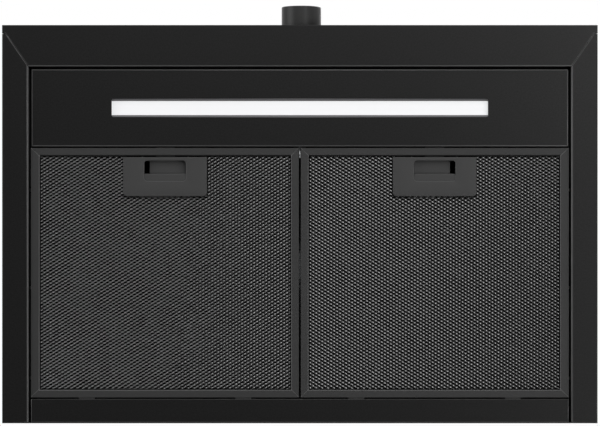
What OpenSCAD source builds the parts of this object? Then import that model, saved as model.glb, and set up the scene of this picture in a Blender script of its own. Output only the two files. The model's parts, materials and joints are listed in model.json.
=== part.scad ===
// Under-cabinet range hood with a mitred rim, one light bar, two mesh filters and one knob.
// Origin: bottom edge of the back face, middle of the width. The front faces -Y, up is +Z.

/* [Body] */
// Width of the hood
hood_w = 760; // [740:5:915]
// Depth from the wall to the front face
hood_d = 508; // [500:1:540]
// Height of the body at the wall
hood_h = 254; // [250:1:300]
// Height of the upright front band
band_h = 80; // [76:1:96]
// Depth of the flat top
top_d = 330; // [315:1:345]
// Thickness of the body sheet
sheet_t = 1.2; // [0.9:0.1:1.5]
// Width of the rim along the front
front_lip = 52.8; // [48:0.1:56]
// Width of the rim along each side
side_lip = 33.8; // [30:0.1:38]
// Height of the hem inside the rim
hem_h = 15; // [13:0.5:18]
// Width of the ledge on top of the hem
ledge_w = 14; // [10:0.5:18]
// How far the front panel wraps round each corner
corner_wrap = 10.5; // [8:0.5:14]
// Distance from the side at which the mitre seam turns square
seam_inset = 4.8; // [3:0.1:7]
// Gap in the seams of the casing
seam_gap = 0.8; // [0.4:0.1:1.2]
// Width of the flanges that join the panels
flange_w = 12; // [10:0.5:16]
// Radius of the holes for the cabinet screws
cabinet_hole_r = 3.5; // [3:0.1:4.5]
// Distance between the cabinet holes across the hood
cabinet_hole_dx = 600; // [560:5:640]
// Distance between the cabinet holes from front to back
cabinet_hole_dy = 220; // [200:5:225]
// Distance from the wall to the rear cabinet holes
cabinet_hole_y = 60; // [50:1:70]

/* [Rear rail] */
// Depth of the rear rail
rail_d = 30.7; // [28:0.1:34]
// Height of the rear rail
rail_h = 20; // [19:0.5:24]

/* [Light] */
// Depth of the light panel
light_panel_d = 98.6; // [94:0.1:102]
// Height of the light panel and the filters above the rim's underside
recess = 4; // [3:0.1:5]
// Gap between the rim and the light panel
panel_gap = 3.4; // [2.5:0.1:4]
// Height of the light panel's rear wall
latch_wall_h = 28; // [26:0.5:32]
// Distance from each end of the light panel to the light slot
slot_margin = 102.3; // [98:0.1:140]
// Width of the light slot
slot_w = 23; // [21:0.1:25]
// Distance from the panel's front edge to the middle of the slot
slot_y = 49.4; // [45:0.1:53]
// Radius of the slot's corners
slot_r = 2.5; // [1.5:0.1:4]
// Width of the diffuser that shows
lens_w = 18; // [15:0.1:19]
// Height of the light channel
channel_h = 14; // [13:0.5:18]
// Thickness of the light channel's flanges
channel_wall = 2.5; // [2:0.1:3]
// Thickness of the diffuser
lens_t = 2; // [1.5:0.1:2.5]
// Length of the light driver and of the control box
case_l = 70; // [60:1:72]
// Distance from the end of the light panel to each of the two
case_inset = 12; // [10:1:14]
// Depth of the light driver
driver_d = 44; // [38:1:44]
// Height of the light driver
driver_h = 24; // [20:1:28]

/* [Control] */
// Diameter of the knob
knob_dia = 51; // [44:0.5:56]
// Length of the knob
knob_len = 25; // [20:0.5:30]
// Gap between the knob and the front face
knob_gap = 1; // [0.6:0.1:2]
// Offset of the knob from the middle of the hood
knob_x = 2; // [-20:1:20]
// Height of the knob's axis
knob_z = 39; // [38:0.5:42]
// Radius of the knob's shaft
knob_shaft_r = 3; // [2.5:0.1:4]
// Size of the switch body
switch_size = 36; // [30:1:40]
// Depth of the switch body
switch_d = 24; // [20:1:30]
// Depth of the control box
control_d = 56; // [48:1:56]
// Height of the control box
control_h = 28; // [24:1:32]

/* [Filters] */
// Thickness of a filter
filter_t = 9.5; // [9.5:0.1:12]
// Thickness of the filter's frame sheet
frame_t = 0.8; // [0.6:0.1:1]
// Width of the filter frame's border
border = 10.4; // [9:0.1:12]
// Gap between the two filters
filter_gap = 1.8; // [1.6:0.1:3]
// Gap between a filter and the rim
filter_side_gap = 2.7; // [2:0.1:4]
// Gap between a filter and the light panel
filter_front_gap = 1.5; // [1.2:0.1:2.5]
// Gap between a filter and the rear rail
filter_rear_gap = 2; // [1.6:0.1:3]
// Thickness of each expanded mesh
mesh_t = 1; // [0.8:0.1:1.4]
// Pitch of the mesh across the hood
mesh_pitch_x = 33; // [31:0.5:40]
// Pitch of the mesh from front to back
mesh_pitch_y = 21.3; // [20:0.1:26]
// Width of a strand of the mesh
strand_w = 3.4; // [2.5:0.1:4.5]
// Width of a rear tab
tab_w = 20; // [16:1:26]
// Length of a rear tab
tab_l = 9.5; // [8:0.5:11]
// Distance of each tab from the filter's middle
tab_x = 100; // [80:1:120]

/* [Filter latch] */
// Width of the handle plate
plate_w = 107; // [96:0.5:116]
// Depth of the handle plate
plate_d = 50; // [49:0.5:54]
// Thickness of the handle plate
plate_t = 0.9; // [0.7:0.1:1.2]
// Radius of the handle plate's rear corners
plate_r = 5; // [2:0.5:8]
// Gap between the frame's border and the handle plate
plate_gap = 1.7; // [1.2:0.1:2.5]
// Width of the finger opening
finger_w = 53.4; // [48:0.1:58]
// Depth of the finger opening
finger_d = 26.2; // [24:0.1:28]
// Distance from the plate's front edge to the finger opening
finger_y = 4.4; // [3.5:0.1:5]
// Corner radius of the finger opening
finger_r = 4.2; // [2:0.1:5]
// Depth of the finger opening's front well
well_d = 17.1; // [15:0.1:18]
// Width of the open slot beside the slider
side_slot_w = 6.6; // [5:0.1:8]
// Travel of the latch slider
latch_travel = 6; // [4:0.5:7]
// Width of the slider's tongue
tongue_w = 24; // [18:1:30]
// Thickness of the slider's sheet
slider_t = 1.2; // [1:0.1:1.5]
// Wire diameter of the latch spring
wire_d = 0.6; // [0.5:0.05:0.8]
// Outer diameter of the latch spring
spring_d = 5; // [4.5:0.1:5.2]
// Turns of the latch spring
spring_turns = 5; // [4:1:6]

/* [Blower] */
// Outer radius of the blower wheel
wheel_r = 70; // [66:1:72]
// Inner radius of the wheel's blades
wheel_inner_r = 57; // [55:1:58]
// Half of the wheel's width
wheel_half = 64; // [58:1:66]
// Number of blades
blades = 36; // [28:1:44]
// Sheet thickness of the scroll
scroll_t = 1; // [0.8:0.1:1.2]
// Half of the scroll's inner width
scroll_half = 76; // [76:1:80]
// Gap between the wheel and the scroll at its tongue
tongue_gap = 8; // [6:0.5:10]
// How much the scroll opens out on its way round
scroll_growth = 34; // [30:1:36]
// Height of the scroll's outlet above the wheel's axis
outlet_h = 80; // [79:1:84]
// Height of the wheel's axis above the middle of the room between the filters and the top
wheel_rise = 1.65; // [-0.6:0.05:2.3]
// Radius of the motor shaft
motor_shaft_r = 4; // [3:0.5:5]
// Radius of the motor
motor_r = 43; // [38:1:45]
// Depth of the straps that carry the blower
strap_w = 38; // [30:1:44]
// Radius of the capacitor
capacitor_r = 17.5; // [15:0.5:20]
// Length of the capacitor
capacitor_l = 60; // [50:1:70]
// Distance between the scroll and the capacitor's axis
capacitor_x = 60; // [40:1:80]

/* [Duct] */
// Outer radius of the duct collar
collar_r = 75.5; // [74:0.1:76]
// Height of the duct collar
collar_h = 50; // [45:1:60]
// Sheet thickness of the collar
collar_t = 1; // [0.8:0.1:1.2]
// Distance from the wall to the middle of the duct
duct_y = 100; // [96:1:110]
// Height of the damper pin above the top panel
damper_z = 16; // [12:0.5:18]
// Radius of the damper pin
damper_pin_r = 2; // [1.5:0.1:2.5]
// Thickness of the damper flaps
flap_t = 1; // [0.8:0.1:1.5]

/* [Wiring] */
// Outer width of the wiring box
box_w = 110; // [100:1:120]
// Outer depth of the wiring box
box_d = 66; // [60:1:70]
// Height of the wiring box
box_h = 52; // [46:1:60]
// Distance from the hood's side to the middle of the wiring box
box_side = 165; // [155:1:180]
// Radius of the cable bush's bore
bush_r = 7; // [5:0.5:8]
// Radius of the knock-out that holds the bush
knockout_r = 11.1; // [10.5:0.1:12]
// Radius of the leads inside the casing
lead_r = 3; // [2.5:0.1:3.5]

/* [Hidden] */
$fn = 64;

// Clearance beside a piece that moves, and the least play of a shaft in its hole
seat_gap = 0.3;
running = 0.04;
// How far a cutter runs past the face that it cuts
past = 1;

body_black = [0.13, 0.13, 0.135];
filter_grey = [0.33, 0.33, 0.34];
plate_grey = [0.40, 0.40, 0.41];
zinc = [0.66, 0.67, 0.69];
steel = [0.55, 0.56, 0.58];
dark_plastic = [0.08, 0.08, 0.09];

half_w = hood_w / 2;
field_x = half_w - side_lip;
field_y = hood_d - front_lip;
slope_a = atan2(hood_h - band_h, hood_d - top_d);
top_under = hood_h - sheet_t;
wrap_y = hood_d - corner_wrap;

// Height of the sloped front at y, and the y of the slope at a height, both d inside the casing
function slope_z(y, d) = band_h + (y + hood_d) * tan(slope_a) - d / cos(slope_a);
function slope_y(z, d) = -hood_d + (z - band_h + d / cos(slope_a)) / tan(slope_a);

panel_front = field_y - panel_gap;
panel_rear = panel_front - light_panel_d;
panel_x = field_x - panel_gap;
light_y = -(panel_front - slot_y);
slot_l = 2 * (panel_x - slot_margin);
case_y1 = light_y + 30;
case_z0 = recess + sheet_t;

filter_x0 = filter_gap / 2;
filter_x1 = field_x - filter_side_gap;
filter_mid = (filter_x0 + filter_x1) / 2;
filter_y0 = -(panel_rear - filter_front_gap);
filter_y1 = -(rail_d + filter_rear_gap);
filter_top = recess + filter_t;
pack_z0 = recess + frame_t;
pack_z1 = filter_top - frame_t;

plate_y0 = filter_y0 + border + plate_gap;
finger_y0 = plate_y0 + finger_y;
finger_y1 = finger_y0 + finger_d;
riser_y = finger_y0 + well_d;
housing_t = 0.8;
housing_x = finger_w / 2 + 0.5;
housing_y0 = finger_y0 - 0.3;
housing_y1 = plate_y0 + plate_d - 1.2 - housing_t;
housing_z1 = filter_top - 0.1 - housing_t;
slider_z1 = housing_z1 - seat_gap;
ledge_z0 = pack_z0 + seat_gap;
ledge_y1 = finger_y1 + 3.9;
slider_x = housing_x - 0.6;
spring_z = (ledge_z0 + slider_t + slider_z1) / 2;

tab_t = 1.2;
tab_leg_t = 1.2;
tab_axis_y = filter_y1 + tab_leg_t;

duct_z = hood_h;
collar_in = collar_r - collar_t;
scroll_r0 = wheel_r + tongue_gap;
scroll_r1 = scroll_r0 + scroll_growth;
tongue_a = 65;
outlet_y0 = scroll_r0 * cos(tongue_a);
wheel_y = -duct_y - (outlet_y0 + scroll_r1) / 2;
wheel_z = (filter_top + top_under) / 2 + wheel_rise;
scroll_x = scroll_half + scroll_t;
ring_r = 68;
ring_bend = 10;
ring_t = 1;

switch_y = -hood_d + sheet_t;
box_x = half_w - box_side;
bush_y = -(sheet_t + box_d / 2);

// A block between two x, two y and two z values
module slab(x, y, z) {
    translate([x[0], y[0], z[0]])
        cube([x[1] - x[0], y[1] - y[0], z[1] - z[0]]);
}

// An outline of [y, z] points carried along X from x0 to x1
module along_x(points, x0, x1) {
    translate([x0, 0, 0])
        rotate([90, 0, 90])
            linear_extrude(x1 - x0)
                polygon(points);
}

// A round bar along X
module bar_x(x0, x1, y, z, r) {
    translate([x0, y, z])
        rotate([0, 90, 0])
            cylinder(h = x1 - x0, r = r);
}

// A round bar along Y, from y0 forward to y1
module bar_y(x, y0, y1, z, r) {
    translate([x, y1, z])
        rotate([-90, 0, 0])
            cylinder(h = y0 - y1, r = r);
}

// The same piece for the left or the right of the hood
module on_side(side) {
    mirror([side < 0 ? 1 : 0, 0, 0])
        children();
}

// A rectangle with round corners between two x and two y values
module round_rect(x, y, r) {
    translate([x[0] + r, y[0]])
        square([x[1] - x[0] - 2 * r, y[1] - y[0]]);
    translate([x[0], y[0] + r])
        square([x[1] - x[0], y[1] - y[0] - 2 * r]);
    for (px = [x[0] + r, x[1] - r], py = [y[0] + r, y[1] - r])
        translate([px, py])
            circle(r);
}

// Casing

// A flange under the slope: the band between one and two sheets inside the casing
module slope_flange(y0, y1, x0, x1) {
    along_x([
        [y0, slope_z(y0, sheet_t)],
        [y1, slope_z(y1, sheet_t)],
        [y1, slope_z(y1, 2 * sheet_t)],
        [y0, slope_z(y0, 2 * sheet_t)]
    ], x0, x1);
}

module front_sheet() {
    inner_y = -hood_d + sheet_t;
    color(body_black) {
        along_x([
            [-hood_d, 0],
            [-hood_d, slope_z(-hood_d, sheet_t)],
            [inner_y, slope_z(inner_y, sheet_t)],
            [inner_y, 0]
        ], -half_w, half_w);
        slope_flange(inner_y, inner_y + flange_w, -half_w + 2 * flange_w, half_w - 2 * flange_w);
        linear_extrude(sheet_t)
            polygon([
                [-half_w, -hood_d], [half_w, -hood_d], [half_w, -wrap_y],
                [half_w - seam_inset, -wrap_y], [field_x, -field_y],
                [-field_x, -field_y], [-half_w + seam_inset, -wrap_y], [-half_w, -wrap_y]
            ]);
        slab([-field_x, field_x], [-field_y - sheet_t, -field_y], [0, hem_h]);
        slab([-field_x, field_x], [-field_y - ledge_w, -field_y], [hem_h - sheet_t, hem_h]);
        for (side = [-1, 1])
            on_side(side)
                along_x([
                    [-hood_d, 0],
                    [-hood_d, slope_z(-hood_d, sheet_t)],
                    [-wrap_y, slope_z(-wrap_y, sheet_t)],
                    [-wrap_y, 0]
                ], half_w - sheet_t, half_w);
    }
}

module front_panel() {
    difference() {
        front_sheet();
        bar_y(knob_x, -hood_d + sheet_t + past, -hood_d - past, knob_z, bushing_hole_r);
    }
}

module side_panel(side) {
    front_y = -wrap_y + seam_gap;
    flange_y = front_y + 2 * seam_gap;
    top_y = slope_y(top_under, sheet_t);
    flange_z = top_under - sheet_t;
    color(body_black)
        on_side(side)
            difference() {
                union() {
                    along_x([
                        [0, 0], [front_y, 0], [front_y, slope_z(front_y, sheet_t)],
                        [top_y, top_under], [0, top_under]
                    ], half_w - sheet_t, half_w);
                    linear_extrude(sheet_t)
                        polygon([
                            [field_x, -sheet_t], [half_w, -sheet_t], [half_w, front_y],
                            [half_w - seam_inset, front_y], [field_x, -field_y + seam_gap]
                        ]);
                    slab([field_x, field_x + sheet_t], [-field_y + seam_gap, -sheet_t], [0, hem_h]);
                    slab([field_x, field_x + ledge_w], [-field_y + seam_gap, -sheet_t],
                        [hem_h - sheet_t, hem_h]);
                    along_x([
                        [flange_y, slope_z(flange_y, sheet_t)], [top_y, top_under],
                        [-sheet_t, top_under], [-sheet_t, flange_z],
                        [slope_y(flange_z, 2 * sheet_t), flange_z],
                        [flange_y, slope_z(flange_y, 2 * sheet_t)]
                    ], half_w - flange_w, half_w - sheet_t / 2);
                }
                for (y = screw_rows)
                    translate([screw_x, y, flange_z - past])
                        cylinder(h = sheet_t + 2 * past, r = screw_r);
            }
}

module canopy_panel() {
    color(body_black)
        difference() {
            along_x([
                [-hood_d, slope_z(-hood_d, sheet_t)], [-hood_d, band_h], [-top_d, hood_h],
                [0, hood_h], [0, top_under], [slope_y(top_under, sheet_t), top_under]
            ], -half_w, half_w);
            translate([0, 0, top_under - past]) {
                for (side = [-1, 1], y = screw_rows)
                    translate([side * screw_x, y, 0])
                        cylinder(h = sheet_t + 2 * past, r = screw_r);
                for (side = [-1, 1], y = [cabinet_hole_y, cabinet_hole_y + cabinet_hole_dy])
                    translate([side * cabinet_hole_dx / 2, -y, 0])
                        cylinder(h = sheet_t + 2 * past, r = cabinet_hole_r);
                translate([0, -duct_y, 0])
                    cylinder(h = sheet_t + 2 * past, r = collar_in);
                translate([box_x, bush_y, 0])
                    cylinder(h = sheet_t + 2 * past, r = knockout_r);
            }
        }
}

module back_panel() {
    color(body_black)
        slab([-half_w + sheet_t, half_w - sheet_t], [-sheet_t, 0], [0, top_under]);
}

module rear_rail() {
    rail_x = panel_x;
    color(body_black)
        difference() {
            union() {
                slab([-rail_x, rail_x], [-rail_d, -sheet_t], [0, sheet_t]);
                slab([-rail_x, rail_x], [-rail_d, -rail_d + sheet_t], [0, rail_h]);
                slab([-rail_x, rail_x], [-rail_d, -sheet_t], [rail_h - sheet_t, rail_h]);
            }
            for (side = [-1, 1], dx = [-tab_x, tab_x])
                slab([side * filter_mid + dx - tab_w / 2 - 2, side * filter_mid + dx + tab_w / 2 + 2],
                    [-rail_d - past, -rail_d + sheet_t + past], [recess - 0.5, rail_h - 2.5]);
        }
}

module light_panel() {
    color(body_black)
        difference() {
            union() {
                slab([-panel_x, panel_x], [-panel_front, -panel_rear], [recess, recess + sheet_t]);
                slab([-panel_x, panel_x], [-panel_front, -panel_front + sheet_t], [recess, hem_h + sheet_t]);
                slab([-panel_x, panel_x], [-field_y - ledge_w + 1, -panel_front + sheet_t],
                    [hem_h, hem_h + sheet_t]);
                slab([-panel_x, panel_x], [-panel_rear - sheet_t, -panel_rear], [recess, latch_wall_h]);
                for (side = [-1, 1])
                    on_side(side) {
                        slab([panel_x - sheet_t, panel_x], [-panel_front, -panel_rear],
                            [recess, hem_h + sheet_t]);
                        slab([panel_x - sheet_t, field_x + ledge_w - 1],
                            [-panel_front + 2 * sheet_t, -panel_rear], [hem_h, hem_h + sheet_t]);
                    }
            }
            translate([0, 0, recess - past])
                linear_extrude(sheet_t + 2 * past)
                    round_rect([-slot_l / 2, slot_l / 2], [light_y - slot_w / 2, light_y + slot_w / 2],
                        slot_r);
        }
}

// A fin between the two filters, welded to the light panel's rear wall
module centre_clip() {
    fin_t = filter_gap - 2 * 0.4;
    color(zinc) {
        slab([-fin_t / 2, fin_t / 2], [-panel_rear, -panel_rear + 14.6], [recess, latch_wall_h - 2]);
        slab([-8, 8], [-panel_rear, -panel_rear + 0.8], [filter_top + 1, latch_wall_h - 2]);
    }
}

screw_r = 2;
screw_x = half_w - sheet_t - flange_w / 2;
screw_rows = [-40, -top_d / 2, -top_d + 30];

module casing_screws() {
    color(zinc)
        for (side = [-1, 1], y = screw_rows)
            translate([side * screw_x, y, hood_h]) {
                translate([0, 0, -2 * sheet_t - 3])
                    cylinder(h = 2 * sheet_t + 3, r = screw_r);
                cylinder(h = 1.2, r = 4);
                translate([0, 0, 1.2])
                    cylinder(h = 1, r1 = 4, r2 = 2.5);
            }
}

// Light

lens_play = 0.2;
channel_half = slot_w / 2 + channel_wall;
channel_z0 = recess + sheet_t;
channel_z1 = channel_z0 + channel_h;
lens_z = channel_z0 + 2.8;
board_t = 1.6;
end_cap_t = 2.5;

// Cross-section: sloped mouth, groove for the diffuser, chamber and a thick roof that carries the board
module light_channel() {
    half = slot_l / 2;
    groove = lens_w / 2 + 0.8;
    groove_top = lens_z + lens_t + lens_play;
    roof = channel_z1 - 3;
    color(zinc)
        along_x([
            [light_y - channel_half, channel_z0], [light_y - slot_w / 2, channel_z0],
            [light_y - lens_w / 2, lens_z - 0.1], [light_y - groove, lens_z - 0.1],
            [light_y - groove, groove_top], [light_y - lens_w / 2, groove_top],
            [light_y - lens_w / 2, roof], [light_y + lens_w / 2, roof],
            [light_y + lens_w / 2, groove_top], [light_y + groove, groove_top],
            [light_y + groove, lens_z - 0.1], [light_y + lens_w / 2, lens_z - 0.1],
            [light_y + slot_w / 2, channel_z0], [light_y + channel_half, channel_z0],
            [light_y + channel_half, channel_z1], [light_y - channel_half, channel_z1]
        ], -half, half);
}

module light_end_caps() {
    color(dark_plastic)
        for (side = [-1, 1])
            on_side(side)
                slab([slot_l / 2, slot_l / 2 + end_cap_t], [light_y - channel_half, light_y + channel_half],
                    [channel_z0, channel_z1]);
}

module light_diffuser() {
    color("white")
        slab([-slot_l / 2, slot_l / 2], [light_y - lens_w / 2 - 0.6, light_y + lens_w / 2 + 0.6],
            [lens_z, lens_z + lens_t]);
}

module light_board() {
    roof = channel_z1 - 3;
    led_pitch = 16;
    led_n = floor((slot_l - 20) / led_pitch / 2);
    color([0.9, 0.9, 0.85]) {
        slab([-slot_l / 2 + 4, slot_l / 2 - 4], [light_y - lens_w / 2 + 1, light_y + lens_w / 2 - 1],
            [roof - board_t, roof]);
        for (i = [-led_n:led_n])
            slab([i * led_pitch - 1.75, i * led_pitch + 1.75], [light_y - 1.4, light_y + 1.4],
                [roof - board_t - 0.7, roof - board_t]);
    }
}

// A closed case near one end of the light panel, with a screw ear at each end
module panel_case(side, d, h) {
    ear = 8;
    ear_t = 2;
    x = [panel_x - case_inset - case_l, panel_x - case_inset];
    y = [case_y1 - d, case_y1];
    on_side(side)
        difference() {
            union() {
                slab(x, y, [case_z0, case_z0 + h]);
                slab([x[0] - ear, x[1] + ear], [y[0] + ear, y[1] - ear], [case_z0, case_z0 + ear_t]);
            }
            for (hole_x = [x[0] - ear / 2, x[1] + ear / 2])
                translate([hole_x, (y[0] + y[1]) / 2, case_z0 - past])
                    cylinder(h = ear_t + 2 * past, r = 2, $fn = 24);
        }
}

module light_driver() {
    color([0.85, 0.85, 0.83])
        panel_case(-1, driver_d, driver_h);
}

module control_box() {
    color(dark_plastic)
        panel_case(1, control_d, control_h);
}

// Control

bushing_r = 4.5;
bushing_hole_r = bushing_r + 0.3;
nut_t = 2;
knob_front = -hood_d - knob_gap - knob_len;
socket_d = 14;

// The knob is one revolved shell: rounded front edge, soft flanks, hollow back and a shaft socket
module knob() {
    r = knob_dia / 2;
    edge = 2.5;
    back = 5;
    color(dark_plastic)
        translate([knob_x, 0, knob_z])
            difference() {
                translate([0, knob_front, 0])
                    rotate([-90, 0, 0])
                        rotate_extrude()
                            polygon(concat(
                                [[0, 0], [r - edge, 0]],
                                [for (a = [15:15:90]) [r - edge + edge * sin(a), edge - edge * cos(a)]],
                                [[r, knob_len - back], [r - 0.8, knob_len - back + 0.8],
                                    [r - 0.8, knob_len], [r - 3, knob_len], [r - 3, 8], [8, 8],
                                    [8, knob_len - nut_t - 2], [0, knob_len - nut_t - 2]]
                            ));
                translate([0, knob_front + knob_len, 0])
                    rotate([90, 0, 0])
                        cylinder(h = nut_t + 2 + socket_d, r = knob_shaft_r);
                slab([-0.6, 0.6], [knob_front - past, knob_front + 0.6], [r * 0.35, r - edge]);
            }
}

module knob_shaft() {
    color(zinc)
        bar_y(knob_x, switch_y + 6, knob_front + knob_len - nut_t - 2 - socket_d, knob_z, knob_shaft_r);
}

module switch_body() {
    color(dark_plastic)
        difference() {
            union() {
                slab([knob_x - switch_size / 2, knob_x + switch_size / 2], [switch_y, switch_y + switch_d],
                    [knob_z - switch_size / 2, knob_z + switch_size / 2]);
                bar_y(knob_x, switch_y, -hood_d - nut_t - 0.5, knob_z, bushing_r);
                for (dx = [-12, 0, 12])
                    slab([knob_x + dx - 3, knob_x + dx + 3], [switch_y + switch_d, switch_y + switch_d + 8],
                        [knob_z + 6, knob_z + 6.8]);
            }
            bar_y(knob_x, switch_y + 6.5, -hood_d - nut_t - 0.5 - past, knob_z, knob_shaft_r + running);
        }
}

module switch_nut() {
    color(zinc)
        difference() {
            translate([knob_x, -hood_d, knob_z])
                rotate([90, 0, 0])
                    cylinder(h = nut_t, r = 7.5, $fn = 6);
            bar_y(knob_x, -hood_d + past, -hood_d - nut_t - past, knob_z, bushing_r);
        }
}

// Blower

spiral_step = 7.375;
spiral_steps = 40;

// Scroll radius at an angle: it grows evenly from the tongue to the outlet
function scroll_at(a) = scroll_r0 + scroll_growth * (a - tongue_a) / (360 - tongue_a);
function spiral(d, first) = [
    for (i = [first:spiral_steps])
        let (a = tongue_a + i * spiral_step)
            [wheel_y + (scroll_at(a) + d) * cos(a), wheel_z + (scroll_at(a) + d) * sin(a)]
];
outlet_z = wheel_z + outlet_h;
outer_scroll = concat(
    [[wheel_y + outlet_y0 - scroll_t, outlet_z],
        [wheel_y + outlet_y0 - scroll_t, wheel_z + (scroll_r0 + scroll_t) * sin(tongue_a + 1)]],
    spiral(scroll_t, 1),
    [[wheel_y + scroll_r1 + scroll_t, outlet_z]]
);
inner_scroll = concat(
    [[wheel_y + outlet_y0, outlet_z]],
    spiral(0, 0),
    [[wheel_y + scroll_r1, outlet_z]]
);

function backwards(list) = [for (i = [len(list) - 1:-1:0]) list[i]];

module scroll_wrapper() {
    color(zinc)
        along_x(concat(outer_scroll, backwards(inner_scroll)), -scroll_half, scroll_half);
}

module scroll_side(side) {
    color(zinc)
        on_side(side)
            difference() {
                along_x(outer_scroll, scroll_half, scroll_x);
                bar_x(scroll_half - past, scroll_x + past, wheel_y, wheel_z, ring_r + seat_gap);
            }
}

// Bell mouth: a quarter bend that guides air into the wheel, with a flat flange on the side plate
module inlet_ring(side) {
    color(zinc)
        on_side(side)
            translate([scroll_x - ring_bend + ring_t, wheel_y, wheel_z])
                rotate([0, 90, 0])
                    rotate_extrude()
                        polygon(concat(
                            [for (a = [0:10:90]) [ring_r - ring_bend * cos(a), ring_bend * sin(a)]],
                            [[ring_r + 8, ring_bend], [ring_r + 8, ring_bend - ring_t]],
                            [for (a = [90:-10:0])
                                [ring_r - (ring_bend - ring_t) * cos(a), (ring_bend - ring_t) * sin(a)]]
                        ));
}

hub_r = 11;
blade_t = 0.8;
blade_bend = 12;
ring_w = 2;

// One forward-curved blade: it leans further the nearer it comes to the rim
function blade_point(u, side) =
    let (
        r = wheel_inner_r + 0.3 + u * (wheel_r - wheel_inner_r - 0.6),
        a = blade_bend * u * u + side * (blade_t / 2) / r * 180 / PI
    )
    [r * cos(a), r * sin(a)];
blade_outline = concat(
    [for (u = [0:0.25:1]) blade_point(u, -1)],
    [for (u = [1:-0.25:0]) blade_point(u, 1)]
);

module blower_wheel() {
    color(zinc)
        translate([0, wheel_y, wheel_z])
            rotate([0, 90, 0])
                difference() {
                    union() {
                        for (z = [-wheel_half, wheel_half - ring_w])
                            translate([0, 0, z])
                                difference() {
                                    cylinder(h = ring_w, r = wheel_r);
                                    translate([0, 0, -past])
                                        cylinder(h = ring_w + 2 * past, r = wheel_inner_r);
                                }
                        translate([0, 0, -0.8])
                            cylinder(h = 1.6, r = wheel_r);
                        translate([0, 0, -6])
                            cylinder(h = 20, r = hub_r);
                        translate([0, 0, -wheel_half + ring_w / 2])
                            linear_extrude(2 * wheel_half - ring_w)
                                for (i = [0:blades - 1])
                                    rotate(i * 360 / blades)
                                        polygon(blade_outline);
                    }
                    translate([0, 0, -6 - past])
                        cylinder(h = 20 + 2 * past, r = motor_shaft_r);
                }
}

shaft_x = [-50, 16];
motor_x0 = -(scroll_x + ring_t + 1.5);
motor_x1 = -16;

module motor_shaft() {
    color(steel)
        bar_x(shaft_x[0], shaft_x[1], wheel_y, wheel_z, motor_shaft_r);
}

module motor() {
    color(steel)
        difference() {
            union() {
                bar_x(motor_x0, motor_x1 - 6, wheel_y, wheel_z, motor_r);
                bar_x(motor_x1 - 6, motor_x1, wheel_y, wheel_z, motor_r * 0.42);
            }
            bar_x(shaft_x[0] - 1, motor_x1 + past, wheel_y, wheel_z, motor_shaft_r + running);
        }
}

// A ring behind the motor with three arms that end in feet on the left side plate
module motor_bracket() {
    plate = 1.5;
    foot_r = ring_r + 8 + 1.2;
    color(zinc)
        difference() {
            union() {
                bar_x(motor_x0 - plate, motor_x0, wheel_y, wheel_z, motor_r * 0.9);
                for (a = [30, 150, 270])
                    translate([0, wheel_y, wheel_z])
                        rotate([a, 0, 0]) {
                            slab([motor_x0 - plate, motor_x0], [motor_r * 0.5, foot_r + 6], [-9, 9]);
                            slab([motor_x0 - plate, -scroll_x], [foot_r, foot_r + 6], [-9, 9]);
                        }
            }
            bar_x(motor_x0 - plate - past, motor_x0 + past, wheel_y, wheel_z, motor_r * 0.4);
        }
}

// Two angle straps from the scroll's sides up to the top panel
module blower_hangers() {
    lap = 32;
    foot = 18;
    strap_y = [-duct_y - 10, -duct_y - 10 + strap_w];
    color(zinc)
        for (side = [-1, 1])
            on_side(side) {
                slab([scroll_x, scroll_x + sheet_t], strap_y, [outlet_z - lap, top_under]);
                slab([scroll_x, scroll_x + foot], strap_y, [top_under - sheet_t, top_under]);
            }
}

// A can that stands head down on its nut, with two blade terminals
module capacitor() {
    nut_r = 12;
    nut_h = 2;
    blade = [2.5, 0.8, 9];
    color([0.75, 0.76, 0.78])
        translate([-scroll_x - capacitor_x, -top_d + 90, top_under - nut_h]) {
            cylinder(h = nut_h, r = nut_r);
            translate([0, 0, -capacitor_l])
                cylinder(h = capacitor_l, r = capacitor_r);
            for (x = [-blade[0] - 1.5, 1.5])
                translate([x, -blade[1] / 2, -capacitor_l - blade[2] + 1])
                    cube(blade);
        }
}

// From the scroll's oblong mouth to the round duct hole
module transition_form(d, over) {
    y0 = wheel_y + outlet_y0 - d;
    y1 = wheel_y + scroll_r1 + d;
    hull() {
        slab([-scroll_half - d, scroll_half + d], [y0, y1], [outlet_z - over, outlet_z + 1]);
        translate([0, -duct_y, top_under - 1])
            cylinder(h = 1 + over, r = collar_in + d - 0.1, $fn = 32);
    }
}

module outlet_transition() {
    color(zinc)
        difference() {
            transition_form(scroll_t, 0);
            transition_form(0, past);
        }
}

// Duct

pin_z = duct_z + damper_z;
flap_r = collar_in - 1.3;
knuckle_r = damper_pin_r + 1.2;

// A flanged tube with a ledge inside that the closed flaps rest on
module duct_collar() {
    ledge_top = damper_z - flap_t / 2 - seat_gap;
    color(zinc)
        difference() {
            translate([0, -duct_y, duct_z])
                rotate_extrude($fn = 96)
                    polygon([
                        [collar_in, 0], [collar_r + 14, 0], [collar_r + 14, collar_t],
                        [collar_r, collar_t], [collar_r, collar_h], [collar_in, collar_h],
                        [collar_in, ledge_top], [collar_in - 3, ledge_top],
                        [collar_in - 3, ledge_top - 1.5], [collar_in, ledge_top - 3]
                    ]);
            bar_x(-collar_r - past, collar_r + past, -duct_y, pin_z, damper_pin_r);
        }
}

module damper_pin() {
    color(steel)
        bar_x(-collar_r, collar_r, -duct_y, pin_z, damper_pin_r);
}

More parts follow.
